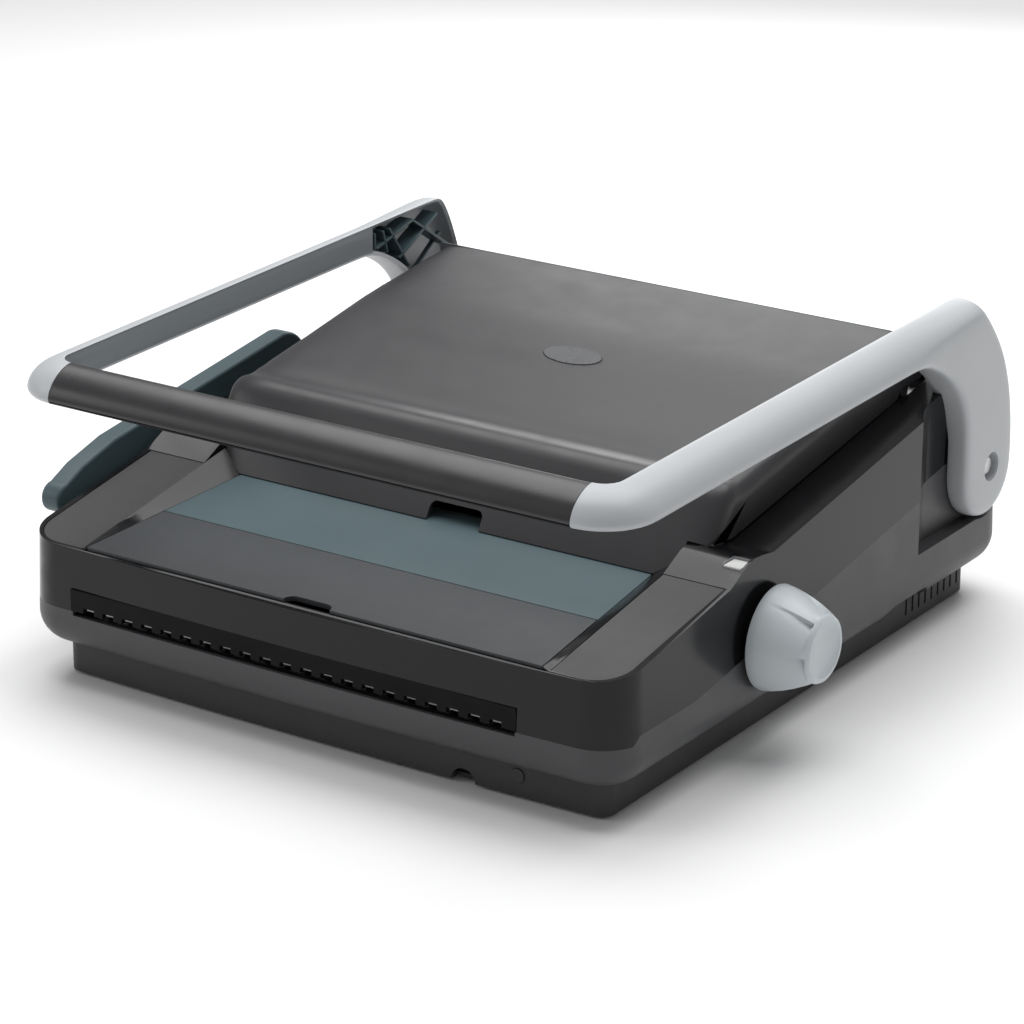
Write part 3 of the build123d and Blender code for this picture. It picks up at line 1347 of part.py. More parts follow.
bar_end = Plane((BAR_HALF, CAP_Y - CAP_INNER_R, arm_top(CAP_Y)), x_dir=(0, -1, 0), z_dir=(-1, 0, 0))
with BuildPart() as bar_shell:
    with BuildSketch(bar_end):
        add(grip_section(0))
        add(grip_section(2.0), mode=Mode.SUBTRACT)
    extrude(amount=2 * BAR_HALF)
    add(block(-BAR_HALF, BAR_HALF, -300, -100, 100, BAR_SPLIT_Z), mode=Mode.SUBTRACT)

with BuildPart() as bar_underside:
    with BuildSketch(bar_end):
        add(grip_section(0))
        add(grip_section(2.0), mode=Mode.SUBTRACT)
    extrude(amount=2 * BAR_HALF)
    add(block(-BAR_HALF, BAR_HALF, -300, -100, BAR_SPLIT_Z, 300), mode=Mode.SUBTRACT)

with BuildPart() as bar_core:
    add(ring(CAP_Y - CAP_INNER_R - 11, BAR_CORE_Z, BAR_CORE_R, BAR_CORE_R - 1.5, -BAR_HALF - 14, BAR_HALF + 14))

with BuildPart() as handle_shaft:
    add(rod(PIVOT_Y, PIVOT_Z, SHAFT_R, -LEG_INNER - 6, LEG_INNER + 6))
    add(both_sides(rod(PIVOT_Y, PIVOT_Z, 2.5, LEG_INNER - 12, LEG_INNER + 6)), mode=Mode.SUBTRACT)

with BuildPart() as pivot_screws:
    add(both_sides(rod(PIVOT_Y, PIVOT_Z, 2.5, LEG_INNER - 10, ARM_OUTER - 6)))
    add(both_sides(rod(PIVOT_Y, PIVOT_Z, 5.0, ARM_OUTER - 6, ARM_OUTER - 3)))

with BuildPart() as drive_pinions:
    add(both_sides(pinion_blank(DRIVE_MODULE, DRIVE_TEETH, PIVOT_Y, PIVOT_Z, SLIDE_X, SLIDE_X + SLIDE_T,
                                SHAFT_R, False)))

# ---- Write the pieces ---------------------------------------------------------------------------

pieces = {
    "upper_housing": upper_housing,
    "lower_housing": lower_housing,
    "base_pan": base_pan,
    "rubber_feet": rubber_feet,
    "base_screws": base_screws,
    "screw_plug": screw_plug,
    "rear_cover": rear_cover,
    "left_plate": left_plate,
    "right_plate": right_plate,
    "throat_panel": throat_panel,
    "scale_window": scale_window,
    "scale_dial": scale_dial,
    "apron_panel": apron_panel,
    "comb_deck": comb_deck,
    "left_frame": left_frame,
    "right_frame": right_frame,
    "cross_bars": cross_bars,
    "shaft_bushes": shaft_bushes,
    "slide_guides": slide_guides,
    "die_plate": die_plate,
    "stripper_plate": stripper_plate,
    "throat_spacers": throat_spacers,
    "chip_chute": chip_chute,
    "comb_rack": comb_rack,
    "opener_rails": opener_rails,
    "hinge_brackets": hinge_brackets,
    "hinge_pins": hinge_pins,
    "punch_cover": punch_cover,
    "cover_pins": cover_pins,
    "punch_carrier": punch_carrier,
    "punch_pins": punch_pins,
    "cam_rod": cam_rod,
    "left_slide": left_slide,
    "right_slide": right_slide,
    "margin_stop": margin_stop,
    "stop_racks": stop_racks,
    "knob_shaft": knob_shaft,
    "knob_pinions": knob_pinions,
    "margin_knob": margin_knob,
    "hook_plate": hook_plate,
    "comb_hooks": comb_hooks,
    "opener_racks": opener_racks,
    "lever_shaft": lever_shaft,
    "lever_pinions": lever_pinions,
    "comb_lever": comb_lever,
    "chip_drawer": chip_drawer,
    "lid": lid,
    "lid_badge": lid_badge,
    "lid_trim": lid_trim,
    "left_arm": left_arm,
    "right_arm": right_arm,
    "left_arm_cover": left_arm_cover,
    "right_arm_cover": right_arm_cover,
    "bar_shell": bar_shell,
    "bar_underside": bar_underside,
    "bar_core": bar_core,
    "handle_shaft": handle_shaft,
    "drive_pinions": drive_pinions,
    "pivot_screws": pivot_screws,
}

os.makedirs("parts", exist_ok=True)
for name, piece in pieces.items():
    piece.part.label = name
    export_step(piece.part, f"parts/{name}.step")
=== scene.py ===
import json
import math

import bmesh
import bpy
from mathutils import Matrix, Vector

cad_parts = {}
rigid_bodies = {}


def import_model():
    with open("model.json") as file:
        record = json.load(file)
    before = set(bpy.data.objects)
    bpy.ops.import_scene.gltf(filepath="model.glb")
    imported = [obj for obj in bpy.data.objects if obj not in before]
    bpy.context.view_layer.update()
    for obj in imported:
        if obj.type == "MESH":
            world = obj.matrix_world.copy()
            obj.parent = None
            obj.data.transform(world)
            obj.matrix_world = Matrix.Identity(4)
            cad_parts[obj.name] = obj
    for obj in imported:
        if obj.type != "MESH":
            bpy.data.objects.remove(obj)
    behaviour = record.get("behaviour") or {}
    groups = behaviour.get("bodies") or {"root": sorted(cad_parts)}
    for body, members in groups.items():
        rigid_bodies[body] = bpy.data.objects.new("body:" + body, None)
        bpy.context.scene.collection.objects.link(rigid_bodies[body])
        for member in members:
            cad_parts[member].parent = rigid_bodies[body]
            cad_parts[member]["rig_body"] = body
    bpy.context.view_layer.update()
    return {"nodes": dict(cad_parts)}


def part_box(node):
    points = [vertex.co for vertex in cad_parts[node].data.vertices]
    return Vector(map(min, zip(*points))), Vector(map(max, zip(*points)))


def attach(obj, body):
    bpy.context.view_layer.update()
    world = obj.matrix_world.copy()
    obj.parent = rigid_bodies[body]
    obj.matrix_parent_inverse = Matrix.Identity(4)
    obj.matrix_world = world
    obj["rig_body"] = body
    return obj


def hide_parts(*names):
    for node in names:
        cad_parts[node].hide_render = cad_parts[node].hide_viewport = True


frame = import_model()
bpy.context.scene.view_settings.view_transform = "Standard"
MM = 0.001

# ---- Base pan, feet and screws ------------------------------------------------------------------
# The pan is a black ABS moulding with a spark-textured skin. Four screws hold it from below, and it stands on
# glued rubber feet. The plug in its front wall and the vent slots on its right are part of the same moulding.


def tint(red, green, blue):
    """A colour given as it is mixed on a screen, made linear."""
    return tuple(((c / 255 + 0.055) / 1.055) ** 2.4 for c in (red, green, blue)) + (1,)


def noise(tree, coords, scale, detail, stretch=(1, 1, 1)):
    """A noise pattern that is scale features per metre, fixed to the piece."""
    mapping = tree.nodes.new("ShaderNodeMapping")
    mapping.inputs["Scale"].default_value = stretch
    pattern = tree.nodes.new("ShaderNodeTexNoise")
    pattern.inputs["Scale"].default_value = scale
    pattern.inputs["Detail"].default_value = detail
    tree.links.new(coords.outputs["Object"], mapping.inputs["Vector"])
    tree.links.new(mapping.outputs["Vector"], pattern.inputs["Vector"])
    return pattern


def moulded(name, colour, shine, grain, depth, drift=0.08, gleam=0.3, metal=0.0, stretch=(1, 1, 1)):
    """Moulded plastic or paint: a slow drift in colour and shine, and a skin grain millimetres wide."""
    material = bpy.data.materials.new(name)
    material.use_nodes = True
    tree = material.node_tree
    shader = tree.nodes["Principled BSDF"]
    shader.inputs["Metallic"].default_value = metal
    shader.inputs["Specular IOR Level"].default_value = gleam
    coords = tree.nodes.new("ShaderNodeTexCoord")
    cloud = noise(tree, coords, 14, 4)
    shade = tree.nodes.new("ShaderNodeMix")
    shade.data_type = "RGBA"
    shade.inputs["A"].default_value = tuple(c * (1 - drift) for c in colour[:3]) + (1,)
    shade.inputs["B"].default_value = tuple(min(1, c * (1 + drift)) for c in colour[:3]) + (1,)
    tree.links.new(cloud.outputs["Fac"], shade.inputs["Factor"])
    tree.links.new(shade.outputs["Result"], shader.inputs["Base Color"])
    rubbed = noise(tree, coords, 45, 6)
    shine_range = tree.nodes.new("ShaderNodeMapRange")
    shine_range.inputs["From Min"].default_value = 0.3
    shine_range.inputs["From Max"].default_value = 0.7
    shine_range.inputs["To Min"].default_value = shine * 0.88
    shine_range.inputs["To Max"].default_value = min(1, shine * 1.12)
    tree.links.new(rubbed.outputs["Fac"], shine_range.inputs["Value"])
    tree.links.new(shine_range.outputs["Result"], shader.inputs["Roughness"])
    skin = noise(tree, coords, 1000 / grain, 3, stretch)
    bump = tree.nodes.new("ShaderNodeBump")
    bump.inputs["Strength"].default_value = depth
    bump.inputs["Distance"].default_value = grain * 0.25 * MM
    tree.links.new(skin.outputs["Fac"], bump.inputs["Height"])
    tree.links.new(bump.outputs["Normal"], shader.inputs["Normal"])
    return material


def finish_with(piece, material):
    """Gives every slot of a piece the same material."""
    if not piece.material_slots:
        piece.data.materials.append(material)
    for place in piece.material_slots:
        place.material = material


def dress(material, *nodes):
    """Gives CAD nodes that stay a better material."""
    for node in nodes:
        finish_with(frame["nodes"][node], material)


def only(piece):
    """Makes one piece the selected and active one."""
    bpy.ops.object.select_all(action="DESELECT")
    piece.select_set(True)
    bpy.context.view_layer.objects.active = piece


def even_shading(piece, angle=28):
    """Smooths the shading of a piece up to an angle, with its large flat faces kept flat."""
    only(piece)
    bpy.ops.object.shade_smooth_by_angle(angle=math.radians(angle))
    weighting = piece.modifiers.new("flat_faces", "WEIGHTED_NORMAL")
    weighting.keep_sharp = True
    weighting.weight = 100
    bpy.ops.object.modifier_apply(modifier="flat_faces")


def soften(piece, width, angle=28):
    """Rounds the sharp edges of a piece by width millimetres and smooths its shading."""
    only(piece)
    rounding = piece.modifiers.new("edge", "BEVEL")
    rounding.width = width * MM
    rounding.segments = 3
    rounding.limit_method = "ANGLE"
    rounding.angle_limit = math.radians(angle)
    bpy.ops.object.modifier_apply(modifier="edge")
    even_shading(piece, 40)


def resurface(node, name, material, width):
    """A copy of a CAD node with merged faces and rounded edges, which takes the node's place."""
    source = frame["nodes"][node]
    piece = bpy.data.objects.new(name, source.data.copy())
    bpy.context.scene.collection.objects.link(piece)
    only(piece)
    bpy.ops.mesh.customdata_custom_splitnormals_clear()
    bpy.ops.object.mode_set(mode="EDIT")
    bpy.ops.mesh.select_all(action="SELECT")
    bpy.ops.mesh.remove_doubles(threshold=0.01 * MM)
    if width:
        bpy.ops.mesh.dissolve_limited(angle_limit=math.radians(0.3))
    bpy.ops.object.mode_set(mode="OBJECT")
    if width:
        soften(piece, width)
    else:
        even_shading(piece)
    finish_with(piece, material)
    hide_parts(node)
    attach(piece, frame["nodes"][node]["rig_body"])
    return piece


base_black = moulded("base_black", tint(62, 62, 63), 0.55, 0.5, 0.35)
dress(base_black, "screw_plug", "chip_chute", "comb_deck")
resurface("base_pan", "base_pan_skin", base_black, 0.5)
dress(moulded("foot_rubber", tint(30, 30, 30), 0.85, 0.8, 0.3), "rubber_feet")


def turned(name, colour, shine, stretch):
    """Steel with the fine lines of turning, drawing or grinding along one way."""
    return moulded(name, colour, shine, 0.35, 0.25, 0.12, 0.5, 1, stretch)


screw_steel = turned("screw_steel", tint(190, 190, 190), 0.28, (1, 1, 1))
dress(screw_steel, "base_screws", "pivot_screws")

# ---- Lower housing and rear cover ---------------------------------------------------------------
# The satin band that draws in to the base. It is a dark grey ABS moulding, clipped and screwed to the upper
# housing along the seam. The cover in its rear wall is the same moulding.

housing_satin = moulded("housing_satin", tint(72, 72, 74), 0.4, 0.45, 0.22)
resurface("lower_housing", "lower_housing_skin", housing_satin, 0)
dress(housing_satin, "rear_cover")

# ---- Upper housing ------------------------------------------------------------------------------
# The gloss black rim, side walls and rear deck in one high-gloss ABS moulding. Matte pieces fill its two side
# beds and its front window, and a clear window covers a plain white piece on its right.

housing_gloss = moulded("housing_gloss", tint(17, 17, 19), 0.16, 2.5, 0.02, 0.1, 0.28)
resurface("upper_housing", "upper_housing_skin", housing_gloss, 0)
plate_matte = moulded("plate_matte", tint(58, 58, 58), 0.45, 0.35, 0.3, 0.06, 0.4)
resurface("left_plate", "left_plate_skin", plate_matte, 0.35)
resurface("right_plate", "right_plate_skin", plate_matte, 0.35)
dress(moulded("throat_black", tint(16, 16, 18), 0.5, 0.5, 0.3, 0.08, 0.1), "throat_panel")
window_clear = moulded("window_clear", tint(235, 238, 240), 0.06, 3, 0.02)
window_clear.node_tree.nodes["Principled BSDF"].inputs["Alpha"].default_value = 0.12
dress(window_clear, "scale_window")
# the piece under the clear window is plain bright white all over
dress(moulded("dial_white", tint(240, 240, 236), 0.5, 0.4, 0.1), "scale_dial")

# ---- Tray panels --------------------------------------------------------------------------------
# Two panels floor the tray. The front one is a dark grey cover that hinges up from the punch, and the one
# behind it is a fixed slate-coloured panel that runs in under the lid.

tray_grey = moulded("tray_grey", tint(62, 65, 68), 0.45, 0.4, 0.2, 0.06)
slate = moulded("slate", tint(74, 91, 96), 0.42, 0.4, 0.18, 0.05)
resurface("punch_cover", "punch_cover_skin", tray_grey, 0.4)
resurface("apron_panel", "apron_panel_skin", slate, 0.3)

# ---- Frames, die set and drive ------------------------------------------------------------------
# Zinc-plated sheet, ground steel and natural acetal: the pieces that work inside. Drawn lines run along each
# sheet, and the acetal is slightly cloudy.

frame_steel = turned("frame_steel", tint(165, 166, 168), 0.36, (1, 0.05, 1))
dress(frame_steel, "left_frame", "right_frame", "cross_bars", "left_slide", "right_slide", "hinge_brackets")
die_steel = turned("die_steel", tint(140, 141, 144), 0.3, (0.05, 1, 1))
dress(die_steel, "die_plate", "stripper_plate", "throat_spacers", "margin_stop", "drive_pinions")
pin_steel = turned("pin_steel", tint(182, 183, 186), 0.2, (1, 1, 0.1))
dress(pin_steel, "punch_pins", "cam_rod", "hinge_pins", "cover_pins", "handle_shaft", "knob_shaft",
      "lever_shaft")
dress(turned("carrier_alloy", tint(176, 178, 182), 0.34, (0.05, 1, 1)), "punch_carrier")
dress(turned("comb_steel", tint(186, 187, 188), 0.26, (0.1, 1, 1)), "comb_rack", "hook_plate", "comb_hooks")
acetal = moulded("acetal", tint(222, 220, 210), 0.45, 0.6, 0.1, 0.04)
dress(acetal, "opener_racks", "stop_racks", "knob_pinions", "lever_pinions", "opener_rails", "slide_guides",
      "shaft_bushes")
resurface("chip_drawer", "chip_drawer_skin", base_black, 0.4)

# ---- Lid ----------------------------------------------------------------------------------------
# One satin ABS shell over the comb well, hinged at its rear edge. A rounded nose comes down to a lip with a
# finger cut-out. A blank oval badge is set in its top, and a grey strip trims its rear edge.

lid_satin = moulded("lid_satin", tint(58, 58, 60), 0.38, 0.35, 0.2, 0.05, 0.4)
# the line over the middle of the lid, from its rear edge to its lip, as (y, z)
LID_LINE = [
    (162.3, 176.2), (160, 176.0), (140, 174.1), (113, 171.1), (90, 168.9), (69, 166.3), (37, 161.1),
    (5, 155.9), (-15, 152.9), (-30, 150.6), (-37, 149.2), (-42, 147.9), (-46, 147.0), (-50, 146.8),
    (-54, 147.3), (-58, 147.6), (-62, 147.0), (-66, 144.8), (-69.5, 140.9), (-72.4, 136.2),
    (-75, 132.0), (-79, 125.6), (-83.4, 118.6), (-84.2, 117.3), (-86, 114.4), (-88, 111.2),
    (-90, 108.0), (-92.8, 103.5), (-95.3, 99.3),
]
# from the lid's middle to its side wall, as (x, drop below the middle line)
LID_ACROSS = [
    (0, 0), (40, 0), (80, 0), (115, 0), (140, 0), (153, 0.05), (161.8, 0.3), (168, 1.0), (172.2, 2.4),
    (175, 4.6), (176.7, 7.4), (177.4, 10.8), (177.5, 13.5),
]
# from this row on the skin is the slanted front face, which runs in between the tray's sides
NOSE_ROW = 22
FACE_HALF = 161.8
LIP_HALF = 146.0
LIP_Z = 98.6
FACE_FLARE = 1.5
LID_THICK = 2.6
REAR_EDGE_Z = 150.5


def face_half(z):
    """Half-width of the lid's front face between the tray's sloping sides at a height."""
    return min(FACE_HALF, LIP_HALF + (z - LIP_Z) * FACE_FLARE)


def deck_line(y):
    """Height of the lid's lower edge above the deck."""
    return 118.0 if y < -77 else max(124.9 + 0.15 * y, 118.0 - (y + 77) * 0.2)


def lid_sheet():
    """The lid's outer skin: top, nose, slanted front and both side walls."""
    sheet = bmesh.new()
    rows = []
    for row, (y, z) in enumerate(LID_LINE):
        before = LID_LINE[max(row - 1, 0)]
        after = LID_LINE[min(row + 1, len(LID_LINE) - 1)]
        run = Vector((0, after[0] - before[0], after[1] - before[1])).normalized()
        out = Vector((0, run.z, -run.y))
        if out.z < 0:
            out = -out
        half = []
        for x, drop in LID_ACROSS:
            fade = max(0, min(1, (x - 140) / 30))
            lift = fade * fade * (3 - 2 * fade) * (1.6 if -60 < y < -38 else 0)
            if row > NOSE_ROW:
                if x > FACE_HALF:
                    continue
                x = x * face_half(z) / FACE_HALF
                drop = 0
            point = Vector((x, y, z + lift * 0.5)) - out * drop
            half.append(point * MM)
        rows.append(half)
    verts = []
    for half in rows:
        line = [sheet.verts.new((-p.x, p.y, p.z)) for p in reversed(half[1:])]
        line += [sheet.verts.new(p) for p in half]
        verts.append(line)
    for low, high in zip(verts, verts[1:]):
        spare = (len(low) - len(high)) // 2
        low = low[spare:len(low) - spare]
        for i in range(len(low) - 1):
            sheet.faces.new((low[i], high[i], high[i + 1], low[i + 1]))
    for side in (0, -1):
        edge = [line[side] for line in verts[:NOSE_ROW + 1]]
        x = edge[0].co.x
        foot = [sheet.verts.new((x, y * MM, deck_line(y) * MM)) for y in (-81.5, -72, -60, -20, 40, 100, 133)]
        foot += [sheet.verts.new((x, y * MM, z * MM)) for y, z in ((137, REAR_EDGE_Z), (162.3, REAR_EDGE_Z))]
        sheet.faces.new(edge + foot)
    bmesh.ops.recalc_face_normals(sheet, faces=sheet.faces)
    top = max(sheet.faces, key=lambda face: face.calc_center_median().z)
    if top.normal.z < 0:
        bmesh.ops.reverse_faces(sheet, faces=sheet.faces)
    return sheet


def place(mesh, name, material, body, slot, *nodes):
    """Turns a bmesh into a piece that rides on a body and stands for the CAD nodes named."""
    data = bpy.data.meshes.new(name)
    mesh.to_mesh(data)
    mesh.free()
    piece = bpy.data.objects.new(name, data)
    bpy.context.scene.collection.objects.link(piece)
    finish_with(piece, material)
    only(piece)
    bpy.ops.object.shade_smooth_by_angle(angle=math.radians(32))
    if nodes:
        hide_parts(*nodes)
    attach(piece, body)
    return piece


def thicken(piece, depth):
    """Gives a sheet its wall, inwards."""
    only(piece)
    wall = piece.modifiers.new("wall", "SOLIDIFY")
    wall.thickness = depth * MM
    wall.offset = -1
    bpy.ops.object.modifier_apply(modifier="wall")


def carve(piece, tool):
    """Cuts a tool's shape out of a piece and removes the tool."""
    only(piece)
    cut = piece.modifiers.new("cut", "BOOLEAN")
    cut.object = tool
    cut.operation = "DIFFERENCE"
    bpy.ops.object.modifier_apply(modifier="cut")
    bpy.data.objects.remove(tool)


lid_shell = place(lid_sheet(), "lid_shell", lid_satin, "lid", "lid_satin", "lid")
thicken(lid_shell, LID_THICK)
bpy.ops.mesh.primitive_cube_add(size=1, location=(0.009, -0.0953, 0.0985))
notch = bpy.context.object
notch.scale = (0.037, 0.03, 0.022)
bpy.ops.object.transform_apply(location=False, rotation=False, scale=True)
soften(notch, 4, 60)
carve(lid_shell, notch)
bpy.ops.mesh.primitive_cylinder_add(vertices=96, radius=1, depth=0.03, location=(0, 0.047, 0.163))
well = bpy.context.object
well.scale = (0.0202, 0.0107, 1)
bpy.ops.object.transform_apply(location=False, rotation=False, scale=True)
carve(lid_shell, well)
soften(lid_shell, 0.35, 50)
dress(moulded("badge_satin", tint(78, 79, 81), 0.28, 0.3, 0.15, 0.05, 0.6), "lid_badge")
resurface("lid_trim", "lid_trim_strip", moulded("trim_grey", tint(96, 98, 102), 0.32, 0.4, 0.2), 0.8)

# ---- Margin knob --------------------------------------------------------------------------------
# A light grey satin moulding, slightly barrelled, with six grip steps that grow towards its face. It is
# pressed on the knob's shaft.

knob_grey = moulded("knob_grey", tint(196, 203, 207), 0.34, 0.35, 0.15, 0.04, 0.5)
KNOB_STEPS = 6
KNOB_STEP_DEPTH = 3.6
KNOB_AROUND = 144
knob_low, knob_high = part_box("margin_knob")
knob_centre = Vector((0, (knob_low[1] + knob_high[1]) / 2, (knob_low[2] + knob_high[2]) / 2))
knob_base = (knob_high[2] - knob_low[2]) / 2
knob_outline = [
    (0.0, 10.0, 0),
    (0.0, knob_base / MM - 1.2, 0),
    (0.5, knob_base / MM - 0.3, 0),
    (1.6, knob_base / MM, 0),
    (6.0, 30.3, 0),
    (12.0, 28.9, 0.12),
    (18.0, 27.0, 0.35),
    (24.0, 24.7, 0.65),
    (29.5, 22.2, 1.0),
    (31.6, 21.1, 1.0),
    (32.1, 20.6, 0.15),
    (32.6, 20.2, 0),
    (34.2, 19.4, 0),
    (35.0, 18.2, 0),
    (35.0, 16.6, 0),
    (33.9, 15.4, 0),
    (32.6, 12.0, 0),
    (32.0, 6.0, 0),
]
knob_mesh = bmesh.new()
knob_rings = []
for along, radius, step in knob_outline:
    ring = []
    for i in range(KNOB_AROUND):
        turn = i / KNOB_AROUND
        rise = (turn * KNOB_STEPS) % 1
        reach = radius - KNOB_STEP_DEPTH * step * (1 - rise) ** 1.6
        angle = 2 * math.pi * turn
        ring.append(knob_mesh.verts.new((
            knob_low[0] + along * MM,
            knob_centre.y + reach * MM * math.cos(angle),
            knob_centre.z + reach * MM * math.sin(angle),
        )))
    knob_rings.append(ring)
for low, high in zip(knob_rings, knob_rings[1:]):
    for i in range(KNOB_AROUND):
        j = (i + 1) % KNOB_AROUND
        knob_mesh.faces.new((low[i], low[j], high[j], high[i]))
knob_mesh.faces.new(knob_rings[0])
knob_mesh.faces.new(knob_rings[-1])
bmesh.ops.recalc_face_normals(knob_mesh, faces=knob_mesh.faces)


place(knob_mesh, "knob_cap", knob_grey, "knob", "knob_grey", "margin_knob")

# ---- Comb lever ---------------------------------------------------------------------------------
# A slate-coloured moulded lever outside the left wall, with a round boss on its shaft and a thinner nose.

resurface("comb_lever", "comb_lever_skin", slate, 2.2)

# ---- Handle arms --------------------------------------------------------------------------------
# Each arm is one silver-painted nylon moulding: a corner that takes the bar, a straight arm with a crowned
# outer side, and a flared leg that turns on the body's shaft. Inside it is open and ribbed, with a grey cover
# on the straight stretch.

arm_silver = moulded("arm_silver", tint(180, 183, 186), 0.38, 0.35, 0.12, 0.03, 0.5)
PIVOT = (193.5, 91.0)
LEG_RADIUS = 32.6
CORNER = (178.5, -198.0)
CORNER_INSIDE = 11.5
ARM_THICK = 2.6
COUNTERBORE_RADIUS = 9.2
ARM_IN = 190.0
ARM_WIDE = 22.5
LEG_IN = 198.5
# (distance out from the inner face, distance down from the top line, distance up from the lower line)
GRIP_PROFILE = [
    (0.0, 0.7, None), (0.5, 0.25, None), (2.0, 0.2, None), (5.0, 0.75, None), (9.0, 2.1, None),
    (13.0, 4.1, None), (16.6, 6.7, None), (19.4, 9.7, None), (21.4, 13.0, None), (22.3, None, 5.0),
    (22.3, None, 3.4), (21.5, None, 1.7), (20.0, None, 0.6), (17.0, None, 0.1), (12.0, None, 0.3),
    (7.0, None, 0.8), (2.5, None, 1.3), (0.0, None, 2.2),
]
LEG_PROFILE = [
    (0.0, 0.6, None), (0.4, 0.15, None), (2.0, 0.0, None), (6.0, 0.1, None), (10.5, 0.5, None),
    (14.6, 1.5, None), (18.2, 3.3, None), (20.8, 6.2, None), (22.2, 11.0, None), (22.4, None, 9.0),
    (22.2, None, 5.2), (21.5, None, 2.8), (20.0, None, 1.1), (17.5, None, 0.3), (13.0, None, 0.0),
    (8.0, None, 0.0), (3.0, None, 0.1), (0.0, None, 0.6),
]


def along_section(top, low, inner, blend):
    """One section of the arm between its top and lower points in the side view."""
    height = math.dist(top, low)
    section = []
    for grip, leg in zip(GRIP_PROFILE, LEG_PROFILE):
        spots = []
        for out, down, up in (grip, leg):
            fall = down if down is not None else height - up
            spots.append((out, fall / height))
        out = spots[0][0] * (1 - blend) + spots[1][0] * blend
        share = spots[0][1] * (1 - blend) + spots[1][1] * blend
        x = inner + out * (ARM_IN + ARM_WIDE - inner) / ARM_WIDE
        section.append((x, top[0] + (low[0] - top[0]) * share, top[1] + (low[1] - top[1]) * share))
    return section


def arm_height(y):
    """Height of the arm's top line."""
    return 195.5 + 0.0143 * (y - CORNER[1])


def arm_sections():
    """Sections of the right arm, from the bar's end round the corner, along the arm and down the leg."""
    sections = []
    for step in range(9):
        turn = math.radians(90 * step / 8)
        flat = along_section((0, arm_height(CORNER[1])), (0, arm_height(CORNER[1]) - 21.0), ARM_IN, 0)
        sections.append([
            (
                CORNER[0] + (CORNER_INSIDE + x - ARM_IN) * math.sin(turn),
                CORNER[1] - (CORNER_INSIDE + x - ARM_IN) * math.cos(turn),
                z,
            )
            for x, _, z in flat
        ])
    for y in (-188, -170, -140, -100, -50, 0, 40, 70, 90):
        sections.append(along_section((y, arm_height(y)), (y, arm_height(y) - 21.0), ARM_IN, 0))
    flare = [
        ((106, 199.8), (104, 178.2), 190.0, 0.0),
        ((124, 200.1), (115, 174.0), 190.0, 0.12),
        ((142, 200.4), (126, 168.6), 190.0, 0.25),
        ((159, 200.6), (136, 162.3), 190.0, 0.4),
        ((174, 200.75), (143, 156.4), 190.0, 0.5),
        ((182, 200.2), (149.4, 149.6), 190.3, 0.6),
        ((190, 191.8), (154.4, 141.6), 191.8, 0.75),
        ((200, 179.0), (157.6, 133.6), 194.5, 0.9),
        ((209.5, 164.5), (159.6, 125.6), 197.2, 1.0),
        ((216.4, 150.0), (160.6, 117.5), LEG_IN, 1.0),
        ((221.8, 134.0), (160.9, 108.5), LEG_IN, 1.0),
        ((225.0, 117.0), (160.9, 101.0), LEG_IN, 1.0),
        ((226.1, 103.0), (160.9, 95.5), LEG_IN, 1.0),
        ((226.1, 91.0), (160.9, 91.0), LEG_IN, 1.0),
    ]
    for top, low, inner, blend in flare:
        sections.append(along_section(top, low, inner, blend))
    return sections


def arm_skin():
    """The open skin of the right arm: a lofted sheet that ends in a half round about the pivot."""
    skin = bmesh.new()
    rows = []
    for section in arm_sections():
        rows.append([skin.verts.new([value * MM for value in spot]) for spot in section])
    for low, high in zip(rows[:-2], rows[1:-1]):
        for i in range(len(low) - 1):
            skin.faces.new((low[i], high[i], high[i + 1], low[i + 1]))
    half = len(LEG_PROFILE) // 2
    centre = skin.verts.new(((ARM_IN + ARM_WIDE) * MM, PIVOT[0] * MM, PIVOT[1] * MM))
    low, high = rows[-2], rows[-1]
    for i in range(len(low) - 1):
        if i == half - 1:
            skin.faces.new((low[i], high[i], centre, high[i + 1], low[i + 1]))
        else:
            skin.faces.new((low[i], high[i], high[i + 1], low[i + 1]))
    steps = 14
    ring = high[:half]
    for step in range(1, steps + 1):
        blend = step / steps
        turn = math.pi * blend
        if step == steps:
            after = list(reversed(high[half:]))
        else:
            after = []
            for (out, down, _), (out_low, _, up) in zip(LEG_PROFILE[:half], reversed(LEG_PROFILE[half:])):
                reach = LEG_RADIUS - down * (1 - blend) - up * blend
                share = (out * (1 - blend) + out_low * blend) / ARM_WIDE
                after.append(skin.verts.new((
                    (LEG_IN + share * (ARM_IN + ARM_WIDE - LEG_IN)) * MM,
                    (PIVOT[0] + reach * math.cos(turn)) * MM,
                    (PIVOT[1] - reach * math.sin(turn)) * MM,
                )))
        for i in range(half - 1):
            skin.faces.new((ring[i], after[i], after[i + 1], ring[i + 1]))
        skin.faces.new((ring[half - 1], after[half - 1], centre))
        ring = after
    bmesh.ops.recalc_face_normals(skin, faces=skin.faces)
    return skin


def lathe(outline, centre_y, centre_z, around=64):
    """A closed ring turned about a line along X, from (x, radius) points in millimetres."""
    ring = bmesh.new()
    loops = []
    for i in range(around):
        turn = 2 * math.pi * i / around
        loops.append([
            ring.verts.new((
                x * MM,
                (centre_y + r * math.cos(turn)) * MM,
                (centre_z + r * math.sin(turn)) * MM,
            ))
            for x, r in outline
        ])
    for i in range(around):
        here, there = loops[i], loops[(i + 1) % around]
        for j in range(len(outline)):
            k = (j + 1) % len(outline)
            ring.faces.new((here[j], here[k], there[k], there[j]))
    bmesh.ops.recalc_face_normals(ring, faces=ring.faces)
    return ring


